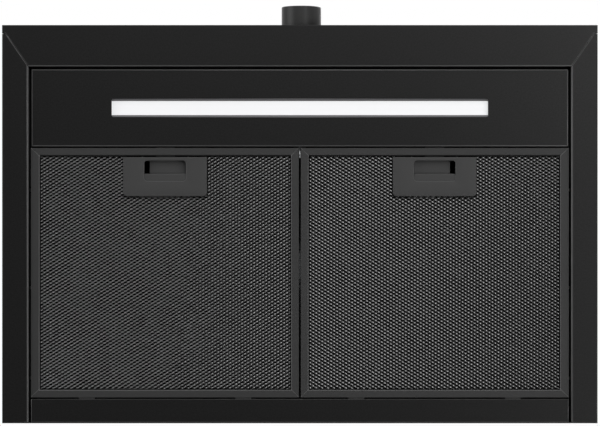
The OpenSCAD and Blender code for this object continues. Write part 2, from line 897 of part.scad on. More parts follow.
// A half disc with two knuckles round the pin; the other flap's knuckles fit between them
module damper_flap(side, knuckles) {
    knuckle_l = 24;
    edge = knuckle_r + 0.5;
    color(zinc)
        translate([0, -duct_y, pin_z])
            mirror([0, side < 0 ? 1 : 0, 0])
                difference() {
                    union() {
                        intersection() {
                            translate([0, 0, -flap_t / 2])
                                cylinder(h = flap_t, r = flap_r);
                            slab([-flap_r, flap_r], [edge, flap_r], [-flap_t / 2, flap_t / 2]);
                        }
                        for (x = knuckles) {
                            bar_x(x, x + knuckle_l, 0, 0, knuckle_r);
                            slab([x, x + knuckle_l], [0, edge + 1], [-flap_t / 2, flap_t / 2]);
                        }
                    }
                    bar_x(-flap_r, flap_r, 0, 0, damper_pin_r + running);
                }
}

// Wiring

wall_t = 1;
box_z0 = top_under - box_h;

module wiring_box() {
    color(zinc)
        difference() {
            slab([box_x - box_w / 2, box_x + box_w / 2], [-sheet_t - box_d, -sheet_t], [box_z0, top_under]);
            slab([box_x - box_w / 2 + wall_t, box_x + box_w / 2 - wall_t],
                [-sheet_t - box_d + wall_t, -sheet_t - wall_t], [box_z0 - past, top_under + past]);
        }
}

module wiring_box_cover() {
    color(zinc)
        slab([box_x - box_w / 2, box_x + box_w / 2], [-sheet_t - box_d, -sheet_t], [box_z0 - wall_t, box_z0]);
}

module terminal_block() {
    ways = 4;
    way_w = 12;
    back_y = -sheet_t - wall_t;
    color([0.9, 0.9, 0.88])
        difference() {
            slab([box_x - ways * way_w / 2, box_x + ways * way_w / 2], [back_y - 18, back_y],
                [box_z0 + 6, box_z0 + 20]);
            for (i = [0:ways - 1])
                bar_y(box_x + (i - (ways - 1) / 2) * way_w, back_y - 8, back_y - 18 - past, box_z0 + 13, 3);
        }
}

module cable_bush() {
    flange = 3;
    color(dark_plastic)
        translate([box_x, bush_y, 0])
            rotate_extrude()
                polygon([
                    [bush_r, top_under - 8], [knockout_r, top_under - 8], [knockout_r, top_under - 4],
                    [knockout_r + flange, top_under - 4], [knockout_r + flange, top_under],
                    [knockout_r, top_under], [knockout_r, hood_h], [knockout_r + flange, hood_h],
                    [knockout_r + flange, hood_h + 2], [bush_r, hood_h + 2]
                ]);
}

// Leads: smooth tubes through hand-picked points, square to what they meet at both ends
lead_sides = 8;
lead_steps = 8;

// A point on the curve through p1 and p2, with p0 before them and p3 after them, t from 0 to 1
function on_curve(p0, p1, p2, p3, t) =
    (2 * p1 + (p2 - p0) * t + (2 * p0 - 5 * p1 + 4 * p2 - p3) * t * t
        + (3 * p1 - p0 - 3 * p2 + p3) * t * t * t) / 2;
function curve(p) = [
    for (i = [0:len(p) - 2], k = [0:lead_steps - 1])
        on_curve(i == 0 ? 2 * p[0] - p[1] : p[i - 1], p[i], p[i + 1],
            i == len(p) - 2 ? 2 * p[i + 1] - p[i] : p[i + 2], k / lead_steps),
    p[len(p) - 1]
];
function unit(v) = v / norm(v);
// Direction of the curve at its i-th point: straight along its first and last step at the ends
function heading(c, p, i) =
    i == 0 ? unit(p[1] - p[0])
    : i == len(c) - 1 ? unit(p[len(p) - 1] - p[len(p) - 2])
    : unit(c[i + 1] - c[i - 1]);
function lead_ring(c, p, i) =
    let (
        ahead = heading(c, p, i),
        across = unit(cross(ahead, [0.31, 0.53, 0.79])),
        up = cross(across, ahead)
    )
    [for (k = [0:lead_sides - 1])
        c[i] + lead_r * (cos(k * 360 / lead_sides) * across + sin(k * 360 / lead_sides) * up)];

// A closed tube over rings of points, each ring with the same number of sides
module tube(rings, sides) {
    last = (len(rings) - 1) * sides;
    walls = [
        for (i = [0:len(rings) - 2], k = [0:sides - 1])
            let (
                a = i * sides + k,
                b = i * sides + (k + 1) % sides
            )
            each [[a, b, b + sides], [a, b + sides, a + sides]]
    ];
    caps = [
        for (k = [1:sides - 2])
            each [[0, k + 1, k], [last, last + k, last + k + 1]]
    ];
    polyhedron(points = [for (ring = rings) each ring], faces = concat(walls, caps));
}

module lead(p) {
    c = curve(p);
    color(dark_plastic)
        tube([for (i = [0:len(c) - 1]) lead_ring(c, p, i)], lead_sides);
}

case_x = panel_x - case_inset - case_l / 2;
control_top = case_z0 + control_h;
lead_y = case_y1 - lead_r - 1;

// From the wiring box's front wall along the right side down to the control box
module supply_lead() {
    x = box_x + box_w / 2 - 18;
    y = -sheet_t - box_d;
    z = box_z0 + 30;
    lead([
        [x, y, z], [x, y - 18, z], [half_w - 30, y - 70, z - 4], [half_w - 22, -top_d + 50, z - 12],
        [half_w - 30, -top_d - 25, z - 80], [case_x + 12, lead_y - 12, control_top + 22],
        [case_x + 12, lead_y - 12, control_top]
    ]);
}

// From the control box along the front panel to the switch's middle terminal
module switch_lead() {
    end_y = switch_y + switch_d + 8;
    end_z = knob_z + 6.4;
    lead([
        [case_x - 10, light_y, control_top], [case_x - 10, light_y, control_top + 16],
        [case_x - 70, light_y - 24, end_z + 8], [knob_x + 60, end_y + 32, end_z + 6],
        [knob_x, end_y + 22, end_z], [knob_x, end_y, end_z]
    ]);
}

// From the control box under the slope and over the scroll to the motor's end
module motor_lead() {
    motor_z = wheel_z + motor_r * 0.2;
    lead([
        [case_x - 10, lead_y - 4, control_top], [case_x - 10, lead_y - 4, control_top + 22],
        [case_x - 40, -top_d - 10, control_top + 100], [case_x - 110, -top_d + 6, wheel_z + 84],
        [0, -top_d + 20, wheel_z + 96], [motor_x0 - 20, -top_d + 60, wheel_z + 84],
        [motor_x0 - 16, wheel_y - 10, wheel_z + 60], [motor_x0 - 16, wheel_y, motor_z],
        [motor_x0, wheel_y, motor_z]
    ]);
}

// One lead across the light panel, and a short one from the driver to the light bar
module light_leads() {
    inner = panel_x - case_inset - case_l;
    bar_end = slot_l / 2 + end_cap_t;
    color(dark_plastic) {
        bar_x(-inner, inner, lead_y, case_z0 + lead_r + 0.2, lead_r);
        bar_x(-inner, -bar_end, light_y, case_z0 + 7, lead_r * 0.7);
    }
}

// Filters, drawn for the right side and mirrored for the left

module filter_frame(side) {
    color(filter_grey)
        on_side(side) {
            difference() {
                slab([filter_x0, filter_x1], [filter_y0, filter_y1], [recess, filter_top]);
                slab([filter_x0 + border, filter_x1 - border], [filter_y0 + border, filter_y1 - border],
                    [recess - past, filter_top + past]);
                slab([filter_x0 + frame_t, filter_x1 - frame_t], [filter_y0 + frame_t, filter_y1 - frame_t],
                    [pack_z0, pack_z1]);
                slab([filter_mid - tongue_w / 2 - 0.6, filter_mid + tongue_w / 2 + 0.6],
                    [filter_y0 - past, filter_y0 + frame_t + past],
                    [slider_z1 - slider_t - seat_gap, slider_z1 + seat_gap]);
                for (px = [filter_x0, filter_x1], py = [filter_y0, filter_y1])
                    mitre_slit(px, py);
            }
            for (dx = [-tab_x, tab_x])
                rear_tab(filter_mid + dx);
        }
}

// A fine saw cut through the lower border, from a corner of the frame to its inner edge
module mitre_slit(px, py) {
    sx = px == filter_x0 ? 1 : -1;
    sy = py == filter_y0 ? 1 : -1;
    translate([px, py, recess - past])
        rotate([0, 0, atan2(sy, sx)])
            translate([3, -0.15, 0])
                cube([border * sqrt(2), 0.3, frame_t + past]);
}

// An angle spot-welded to the frame's rear wall, whose foot goes through the rear rail
module rear_tab(x) {
    z0 = recess + 0.6;
    slab([x - tab_w / 2, x + tab_w / 2], [filter_y1, tab_axis_y], [z0, filter_top - 1]);
    slab([x - tab_w / 2, x + tab_w / 2], [filter_y1, tab_axis_y + tab_l], [z0, z0 + tab_t]);
}

// The space that the latch takes out of the mesh and the pad
module latch_room() {
    slab([filter_mid - housing_x - housing_t - 0.4, filter_mid + housing_x + housing_t + 0.4],
        [filter_y0, housing_y1 + housing_t + 0.4], [recess, filter_top]);
}

mesh_x0 = filter_x0 + frame_t;
mesh_x1 = filter_x1 - frame_t;
mesh_y0 = filter_y0 + frame_t;
mesh_y1 = filter_y1 - frame_t;
mesh_edge = 2;
strand_a = atan2(mesh_pitch_y, mesh_pitch_x);
hole_x = mesh_pitch_x / 2 - strand_w / 2 / sin(strand_a);
hole_y = mesh_pitch_y / 2 - strand_w / 2 / cos(strand_a);
mesh_cols = floor((mesh_x1 - mesh_x0) / mesh_pitch_x);
mesh_rows = floor((mesh_y1 - mesh_y0) / mesh_pitch_y * 2);

// Whether a diamond centred at p keeps clear of the sheet's edges and of the latch
function fits(p) =
    p[0] - hole_x > mesh_x0 + mesh_edge && p[0] + hole_x < mesh_x1 - mesh_edge
    && p[1] - hole_y > mesh_y0 + mesh_edge && p[1] + hole_y < mesh_y1 - mesh_edge
    && !(abs(p[0] - filter_mid) < hole_x + housing_x + housing_t + mesh_edge
        && p[1] - hole_y < housing_y1 + housing_t + mesh_edge);

// Centres of the openings: rows half a pitch apart, each second row set over by half a pitch
mesh_centres = [
    for (row = [0:mesh_rows], col = [-1:mesh_cols + 1])
        let (p = [
            filter_mid + (col - mesh_cols / 2 + (row % 2) / 2) * mesh_pitch_x,
            (mesh_y0 + mesh_y1) / 2 + (row - mesh_rows / 2) * mesh_pitch_y / 2
        ])
            if (fits(p)) p
];

// Expanded metal, drawn with a coarser pitch than the real mesh
module expanded_mesh(z0) {
    difference() {
        translate([0, 0, z0])
            linear_extrude(mesh_t)
                difference() {
                    translate([mesh_x0, mesh_y0])
                        square([mesh_x1 - mesh_x0, mesh_y1 - mesh_y0]);
                    for (p = mesh_centres)
                        translate(p)
                            polygon([[-hole_x, 0], [0, hole_y], [hole_x, 0], [0, -hole_y]]);
                }
        latch_room();
    }
}

module filter_mesh(side) {
    color(plate_grey)
        on_side(side)
            expanded_mesh(pack_z0);
}

module filter_back_mesh(side) {
    color(plate_grey)
        on_side(side)
            expanded_mesh(pack_z1 - mesh_t);
}

module filter_pad(side) {
    color([0.25, 0.25, 0.26])
        on_side(side)
            difference() {
                slab([mesh_x0, mesh_x1], [mesh_y0, mesh_y1], [pack_z0 + mesh_t, pack_z1 - mesh_t]);
                latch_room();
            }
}

module handle_plate(side) {
    x = [filter_mid - plate_w / 2, filter_mid + plate_w / 2];
    y = [plate_y0, plate_y0 + plate_d];
    color(plate_grey)
        on_side(side)
            translate([0, 0, pack_z0 - plate_t])
                linear_extrude(plate_t)
                    difference() {
                        union() {
                            round_rect(x, y, plate_r);
                            translate([x[0], y[0]])
                                square([plate_w, plate_d - plate_r]);
                        }
                        round_rect([filter_mid - finger_w / 2, filter_mid + finger_w / 2],
                            [finger_y0, finger_y1], finger_r);
                    }
}

// A box behind the finger opening that guides the slider and stops its spring
module latch_housing(side) {
    color(plate_grey)
        on_side(side)
            difference() {
                slab([filter_mid - housing_x - housing_t, filter_mid + housing_x + housing_t],
                    [housing_y0 - housing_t, housing_y1 + housing_t], [pack_z0, housing_z1 + housing_t]);
                slab([filter_mid - housing_x, filter_mid + housing_x], [housing_y0, housing_y1],
                    [pack_z0 - past, housing_z1]);
                slab([filter_mid - tongue_w / 2 - 0.6, filter_mid + tongue_w / 2 + 0.6],
                    [housing_y0 - housing_t - past, housing_y0 + past],
                    [slider_z1 - slider_t - seat_gap, slider_z1 + seat_gap]);
                slab([filter_mid + finger_w / 2 - side_slot_w, filter_mid + finger_w / 2],
                    [housing_y0 + 1, riser_y - 0.5], [housing_z1 - past, housing_z1 + housing_t + past]);
            }
}

// Tongue, wide pad over the front well, riser for the finger, ledge and spring lip
module latch_slider(side) {
    tongue_z = [slider_z1 - slider_t, slider_z1];
    nose_y = -panel_rear + seat_gap;
    pad_y = housing_y0 + seat_gap;
    pad_x1 = filter_mid + finger_w / 2 - side_slot_w;
    ledge_x = [filter_mid - slider_x, filter_mid + slider_x];
    color(plate_grey)
        on_side(side) {
            slab([filter_mid - tongue_w / 2, filter_mid + tongue_w / 2], [nose_y, pad_y], tongue_z);
            slab([filter_mid - slider_x, pad_x1], [pad_y, riser_y], tongue_z);
            slab(ledge_x, [riser_y, riser_y + slider_t], [ledge_z0, slider_z1]);
            slab(ledge_x, [riser_y, ledge_y1], [ledge_z0, ledge_z0 + slider_t]);
            slab([filter_mid - 10, filter_mid + 10], [ledge_y1 - slider_t, ledge_y1], [ledge_z0, slider_z1]);
        }
}

// Latch spring: one tube along a helix, as rings of points
spring_y0 = ledge_y1 + seat_gap;
spring_y1 = housing_y1 - seat_gap;
coil_r = (spring_d - wire_d) / 2;
coil_pitch = (spring_y1 - spring_y0 - wire_d) / spring_turns;
ring_sides = 6;
rings_per_turn = 8;
coil_rings = spring_turns * rings_per_turn;
echo(str("latch spring: gap between turns at rest ", coil_pitch - wire_d, " mm, pulled back ",
    coil_pitch - latch_travel / spring_turns - wire_d, " mm"));

function coil_ring(i) =
    let (
        a = i * 360 / rings_per_turn,
        out = [cos(a), 0, sin(a)],
        rise = atan2(coil_pitch, 2 * PI * coil_r),
        up = [sin(a) * sin(rise), cos(rise), -cos(a) * sin(rise)],
        centre = [filter_mid, spring_y0 + wire_d / 2 + i * coil_pitch / rings_per_turn, spring_z]
            + coil_r * out
    )
    [for (k = [0:ring_sides - 1])
        centre + wire_d / 2 * (cos(k * 360 / ring_sides) * out + sin(k * 360 / ring_sides) * up)];

module latch_spring(side) {
    color(steel)
        on_side(side)
            tube([for (i = [0:coil_rings]) coil_ring(i)], ring_sides);
}

front_panel();
side_panel(-1);  // left_side_panel
side_panel(1);  // right_side_panel
canopy_panel();
back_panel();
rear_rail();
light_panel();
centre_clip();
casing_screws();
light_channel();
light_end_caps();
light_diffuser();
light_board();
light_driver();
knob();
knob_shaft();
switch_body();
switch_nut();
control_box();
scroll_wrapper();
scroll_side(-1);  // scroll_side_left
scroll_side(1);  // scroll_side_right
inlet_ring(-1);  // inlet_ring_left
inlet_ring(1);  // inlet_ring_right
blower_wheel();
motor_shaft();
motor();
motor_bracket();
blower_hangers();
capacitor();
outlet_transition();
duct_collar();
damper_pin();
damper_flap(-1, [-61, 6]);  // damper_flap_front
damper_flap(1, [-30, 37]);  // damper_flap_rear
wiring_box();
wiring_box_cover();
terminal_block();
cable_bush();
supply_lead();
switch_lead();
motor_lead();
light_leads();
filter_frame(-1);  // filter_frame_left
filter_mesh(-1);  // filter_mesh_left
filter_pad(-1);  // filter_pad_left
filter_back_mesh(-1);  // filter_back_mesh_left
handle_plate(-1);  // handle_plate_left
latch_housing(-1);  // latch_housing_left
latch_slider(-1);  // latch_slider_left
latch_spring(-1);  // latch_spring_left
filter_frame(1);  // filter_frame_right
filter_mesh(1);  // filter_mesh_right
filter_pad(1);  // filter_pad_right
filter_back_mesh(1);  // filter_back_mesh_right
handle_plate(1);  // handle_plate_right
latch_housing(1);  // latch_housing_right
latch_slider(1);  // latch_slider_right
latch_spring(1);  // latch_spring_right
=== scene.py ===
"""Finish of the range hood: fine expanded mesh, pressed sheet edges, turned knob, surface materials,
light, camera."""
import json
import math

import bmesh
import bpy
import numpy as np
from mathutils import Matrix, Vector

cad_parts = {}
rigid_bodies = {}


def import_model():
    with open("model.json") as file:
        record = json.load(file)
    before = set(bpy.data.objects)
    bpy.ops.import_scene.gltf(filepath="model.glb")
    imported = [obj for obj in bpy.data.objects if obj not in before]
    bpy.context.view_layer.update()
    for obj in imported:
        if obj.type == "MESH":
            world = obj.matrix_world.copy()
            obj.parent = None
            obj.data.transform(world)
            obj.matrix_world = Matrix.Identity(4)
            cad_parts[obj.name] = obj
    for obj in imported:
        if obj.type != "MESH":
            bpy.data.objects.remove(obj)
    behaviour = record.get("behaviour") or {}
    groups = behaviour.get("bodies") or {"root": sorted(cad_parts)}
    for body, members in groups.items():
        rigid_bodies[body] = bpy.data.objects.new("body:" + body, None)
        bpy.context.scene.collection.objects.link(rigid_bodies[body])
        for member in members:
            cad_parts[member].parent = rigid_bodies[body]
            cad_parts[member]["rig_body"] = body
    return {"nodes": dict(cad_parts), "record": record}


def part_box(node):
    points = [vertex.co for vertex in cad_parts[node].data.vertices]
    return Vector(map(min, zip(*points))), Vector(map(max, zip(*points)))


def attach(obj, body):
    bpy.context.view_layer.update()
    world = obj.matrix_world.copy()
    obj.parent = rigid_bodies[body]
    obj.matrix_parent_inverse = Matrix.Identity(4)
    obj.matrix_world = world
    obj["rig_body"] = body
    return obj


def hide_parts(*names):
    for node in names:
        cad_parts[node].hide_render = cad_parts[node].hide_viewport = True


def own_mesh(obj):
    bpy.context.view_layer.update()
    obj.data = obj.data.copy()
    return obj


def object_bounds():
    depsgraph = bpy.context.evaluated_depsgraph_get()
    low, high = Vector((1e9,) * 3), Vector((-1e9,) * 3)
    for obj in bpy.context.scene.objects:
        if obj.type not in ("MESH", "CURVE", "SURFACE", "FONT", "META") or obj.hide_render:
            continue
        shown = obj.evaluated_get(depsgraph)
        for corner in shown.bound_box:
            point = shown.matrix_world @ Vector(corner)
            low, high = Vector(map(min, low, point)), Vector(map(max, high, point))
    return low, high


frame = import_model()
cad_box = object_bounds()
nodes = frame["nodes"]
MM = 0.001

# Border of a filter frame, and where its rolled inner edge ends, from the frame's outside: at the middle
# of the hood, at its side, in front and behind
BORDER = 10.4 * MM
FRAME_SHEET = 0.8 * MM
ROLL_END = np.array([10.5, 11.3, 10.0, 9.8]) * MM
ROLL_RADIUS = 1.6 * MM


def frame_limits():
    """The lowest and the highest corner of the right filter frame, without its rear tabs."""
    low, high = (np.array(corner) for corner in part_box("filter_frame_right"))
    high[1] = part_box("filter_mesh_right")[1].y + FRAME_SHEET
    return low, high


# Node trees

def add(tree, kind, settings=None, **inputs):
    """A new node. An input given as a socket is linked, any other value is set on it; in0, in1 name
    inputs by number."""
    made = tree.nodes.new(kind)
    for key, value in (settings or {}).items():
        setattr(made, key, value)
    for key, value in inputs.items():
        numbered = key[:2] == "in" and key[2:].isdigit()
        socket = made.inputs[int(key[2:])] if numbered else made.inputs[key.replace("_", " ")]
        if isinstance(value, bpy.types.NodeSocket):
            tree.links.new(value, socket)
        else:
            socket.default_value = value
    return made


def math_node(tree, operation, *values):
    """The result of one sum, product or other operation on numbers and sockets."""
    inputs = {f"in{i}": value for i, value in enumerate(values)}
    return add(tree, "ShaderNodeMath", {"operation": operation}, **inputs).outputs[0]


def times(tree, first, second):
    return math_node(tree, "MULTIPLY", first, second)


def plus(tree, first, second):
    return math_node(tree, "ADD", first, second)


def minus(tree, first, second):
    return math_node(tree, "SUBTRACT", first, second)


def varied(tree, pattern, amount):
    """A pattern from 0 to 1 as a change about 0, as strong as the amount."""
    return times(tree, minus(tree, pattern, 0.5), amount)


def without(tree, mask, amount):
    """1 where a mask is 0, and less by the amount where it is 1."""
    return minus(tree, 1.0, times(tree, mask, amount))


def scaled(tree, colour, factor):
    """A colour made brighter or darker by a factor."""
    return add(tree, "ShaderNodeVectorMath", {"operation": "SCALE"}, Vector=colour, Scale=factor).outputs[0]


def spread(tree, value, low, high):
    """A value from 0 to 1 spread over low to high."""
    return add(tree, "ShaderNodeMapRange", Value=value, To_Min=low, To_Max=high).outputs[0]


def object_place(tree, stretch=(1, 1, 1)):
    """Object coordinates, stretched along the axes."""
    place = add(tree, "ShaderNodeTexCoord").outputs["Object"]
    return add(tree, "ShaderNodeMapping", Vector=place, Scale=stretch).outputs[0]


def noise(tree, place, scale, detail=2.0, roughness=0.5):
    """Noise from 0 to 1 with so many bumps per metre."""
    return add(tree, "ShaderNodeTexNoise", Vector=place, Scale=scale, Detail=detail,
               Roughness=roughness).outputs[0]


def new_group(name, inputs, outputs):
    """An empty shader group with number inputs (name: default) and number outputs, and its two end
    nodes."""
    group = bpy.data.node_groups.new(name, "ShaderNodeTree")
    for label, default in inputs.items():
        socket = group.interface.new_socket(label, in_out="INPUT", socket_type="NodeSocketFloat")
        socket.default_value = default
    for label in outputs:
        group.interface.new_socket(label, in_out="OUTPUT", socket_type="NodeSocketFloat")
    return group, group.nodes.new("NodeGroupInput"), group.nodes.new("NodeGroupOutput")


def hand_out(group, out, **values):
    """Links a group's results to its outputs of the same names."""
    for label, value in values.items():
        group.links.new(value, out.inputs[label])


def within(tree, low, high, both_sides=False):
    """1 where the object's own coordinates lie between two corners, and 0 elsewhere, on the right side of
    the hood or on both sides."""
    place = add(tree, "ShaderNodeTexCoord").outputs["Object"]
    if both_sides:
        place = add(tree, "ShaderNodeVectorMath", {"operation": "ABSOLUTE"}, in0=place).outputs[0]
        low, high = (low[0], -high[1], low[2]), (high[0], -low[1], high[2])
    parts = add(tree, "ShaderNodeSeparateXYZ", Vector=place).outputs
    inside = 1.0
    for part, least, most in zip(parts, low, high):
        above = math_node(tree, "GREATER_THAN", part, least)
        below = math_node(tree, "LESS_THAN", part, most)
        inside = times(tree, inside, times(tree, above, below))
    return inside


# Corners of the solids' whole box, and how far the knob stands out of the casing's front, the rim's
# rounded edge reaches up, and a surface may lie from an outer face without being inside the casing
BOX_LOW, BOX_HIGH = (np.array(corner) for corner in cad_box)
KNOB_REACH = 26 * MM
RIM_TOP = 5.5 * MM
WALL = 1.5 * MM
SEAM_WIDTH = 1.0 * MM


def behind_rim(tree):
    """1 on the surfaces low inside the casing, behind its rim, and 0 elsewhere."""
    side, top = 2 * MM, 60 * MM
    return within(tree, (BOX_LOW[0] + side, BOX_LOW[1] + KNOB_REACH + WALL, RIM_TOP),
                  (BOX_HIGH[0] - side, -WALL, top))


def round_opening(tree):
    """1 on the underside round the opening, from the casing's rim to its back, and 0 elsewhere."""
    side, front = 3 * MM, 4 * MM
    return within(tree, (BOX_LOW[0] + side, BOX_LOW[1] + KNOB_REACH + front, -MM),
                  (BOX_HIGH[0] - side, -WALL, RIM_TOP))


def corner_seams(tree):
    """1 on the lines across the corners of the filter frames, where their sides meet, and 0 beside them:
    there a point is as far from the nearer side of the frame as from the nearer of its front and rear."""
    low, high = frame_limits()
    place = add(tree, "ShaderNodeTexCoord").outputs["Object"]
    place = add(tree, "ShaderNodeVectorMath", {"operation": "ABSOLUTE"}, in0=place).outputs[0]
    parts = add(tree, "ShaderNodeSeparateXYZ", Vector=place).outputs
    across = math_node(tree, "MINIMUM", minus(tree, parts[0], low[0]), minus(tree, high[0], parts[0]))
    along = math_node(tree, "MINIMUM", minus(tree, -low[1], parts[1]), plus(tree, parts[1], high[1]))
    apart = math_node(tree, "ABSOLUTE", minus(tree, across, along))
    return math_node(tree, "LESS_THAN", apart, SEAM_WIDTH / 2)


def powder_grain():
    """Sprayed powder: a fine orange peel, paler specks and slow clouds of tone. Tone varies about 1.
    Behind the rim of the casing the coat is dull and darkened by painted shade, as far as
    Dull shade behind rim says; on the rounded edges round the opening a highlight is painted paler, as far
    as Edge highlight says, and so is a painted highlight on the seams in the corners of the filter frames,
    as far as Seam highlight says."""
    group, given, out = new_group(
        "Powder grain",
        {"Grain": 900.0, "Specks": 0.1, "Clouds": 0.06, "Thin inside": 0.0, "Pale edges": 0.0,
         "Pale seams": 0.0},
        ("Tone", "Relief", "Dullness"))
    given = given.outputs
    place = object_place(group)
    peel = noise(group, place, given["Grain"], 3.0, 0.6)
    specks = noise(group, place, times(group, given["Grain"], 0.45), 4.0, 0.75)
    clouds = noise(group, place, 5.0, 2.0)
    speck_part = varied(group, specks, given["Specks"])
    cloud_part = varied(group, clouds, given["Clouds"])
    tone = plus(group, plus(group, speck_part, cloud_part), 1.0)
    # Painted shade: behind the rim of the casing the tone is darkened to a fifth, and the coat is also
    # duller
    thin = times(group, behind_rim(group), given["Thin inside"])
    tone = times(group, tone, without(group, thin, 0.8))
    # Painted highlight: the rounded edges round the opening are made paler in tone
    edge = add(group, "ShaderNodeAttribute", {"attribute_name": "edge"}).outputs["Fac"]
    pale = times(group, times(group, edge, round_opening(group)), given["Pale edges"])
    # Painted highlight: lines across the corners of the filter frames are made paler in tone
    seams = times(group, corner_seams(group), given["Pale seams"])
    tone = plus(group, plus(group, tone, pale), seams)
    dullness = plus(group, spread(group, specks, -0.06, 0.06), thin)
    hand_out(group, out, Tone=tone, Relief=plus(group, peel, specks), Dullness=dullness)
    return group


# Width of the painted shade along the border of the mesh, lowest and highest metal inside the casing,
# and rear end of the foot of the clip
BORDER_SHADE_WIDTH = 1.5 * MM
CASING_INSIDE = (20 * MM, 240 * MM)
CLIP_FOOT_END = -347.5 * MM


def rolled_metal():
    """Rolled or drawn metal: fine lines along X, broken by slow patches. Tone varies about 1. Where the
    filters' mesh goes under the rolled edge or the handle plate it is darkened by painted shade, as far as
    Border shade says, and so are all metal inside the casing and the foot of the clip at the light panel,
    as far as Casing shade says."""
    group, given, out = new_group(
        "Rolled metal",
        {"Lines": 1500.0, "Strength": 0.2, "Patches": 60.0, "Dark border": 0.0, "Dark inside": 0.0},
        ("Tone", "Relief", "Dullness"))
    given = given.outputs
    lines = noise(group, object_place(group, (0.02, 1, 1)), given["Lines"], 2.0)
    patches = noise(group, object_place(group), given["Patches"], 3.0)
    both = times(group, plus(group, lines, patches), 0.5)
    tone = plus(group, varied(group, both, given["Strength"]), 1.0)
    # Painted shade: the mesh is darkened in a strip along the frame's rolled edge and round the handle
    # plate
    low, high = frame_limits()
    low[:2] += ROLL_END[[0, 2]] + BORDER_SHADE_WIDTH
    high[:2] -= ROLL_END[[1, 3]] + BORDER_SHADE_WIDTH
    low[2] = 0
    border = minus(group, 1.0, within(group, low, high, both_sides=True))
    plate_low, plate_high = (np.array(corner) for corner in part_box("handle_plate_right"))
    by_plate = within(group, plate_low - BORDER_SHADE_WIDTH, plate_high + BORDER_SHADE_WIDTH, both_sides=True)
    border = math_node(group, "MAXIMUM", border, by_plate)
    tone = times(group, tone, without(group, border, given["Dark border"]))
    # Painted shade: metal inside the casing and the clip's foot in front of the light panel are darkened
    inside = within(group, (*BOX_LOW[:2], CASING_INSIDE[0]), (*BOX_HIGH[:2], CASING_INSIDE[1]))
    clip_foot = within(group, (*BOX_LOW[:2], 0), (BOX_HIGH[0], CLIP_FOOT_END, CASING_INSIDE[0]))
    inside = math_node(group, "MAXIMUM", inside, clip_foot)
    tone = times(group, tone, without(group, inside, given["Dark inside"]))
    hand_out(group, out, Tone=tone, Relief=lines, Dullness=spread(group, patches, -0.08, 0.08))
    return group


POWDER = powder_grain()
ROLLED = rolled_metal()


def finish(name, colour, surface, roughness, metallic=0.0, relief=0.02, relief_depth=0.02, specular=0.5,
           glow=None, backdrop=None, **values):
    """A Principled material over a shared surface group, which takes the values: its tone varies the
    colour, its relief is a bump of a depth in millimetres. A backdrop looks paler by so much wherever the
    camera sees it, also through clear pieces."""
    material = bpy.data.materials.new(name)
    material.use_nodes = True
    tree = material.node_tree
    tree.nodes.clear()
    texture = add(tree, "ShaderNodeGroup", {"node_tree": surface}, **values)
    tone = texture.outputs["Tone"]
    tinted = scaled(tree, colour, tone)
    rough = plus(tree, texture.outputs["Dullness"], roughness)
    bump = add(tree, "ShaderNodeBump", Height=texture.outputs["Relief"], Strength=relief,
               Distance=relief_depth * MM).outputs[0]
    shader = add(tree, "ShaderNodeBsdfPrincipled", Base_Color=tinted, Roughness=rough, Metallic=metallic,
                 Normal=bump, Specular_IOR_Level=specular)
    if glow is not None:
        tree.links.new(scaled(tree, glow, tone), shader.inputs["Emission Color"])
        shader.inputs["Emission Strength"].default_value = 1.0
    if backdrop is not None:
        path = add(tree, "ShaderNodeLightPath").outputs
        seen = math_node(tree, "MAXIMUM", path["Is Camera Ray"], path["Is Transmission Ray"])
        shader.inputs["Emission Color"].default_value = (1, 1, 1, 1)
        tree.links.new(times(tree, seen, backdrop), shader.inputs["Emission Strength"])
    end = add(tree, "ShaderNodeOutputMaterial")
    tree.links.new(shader.outputs[0], end.inputs["Surface"])
    return material


def grey(level):
    return (level, level, level)


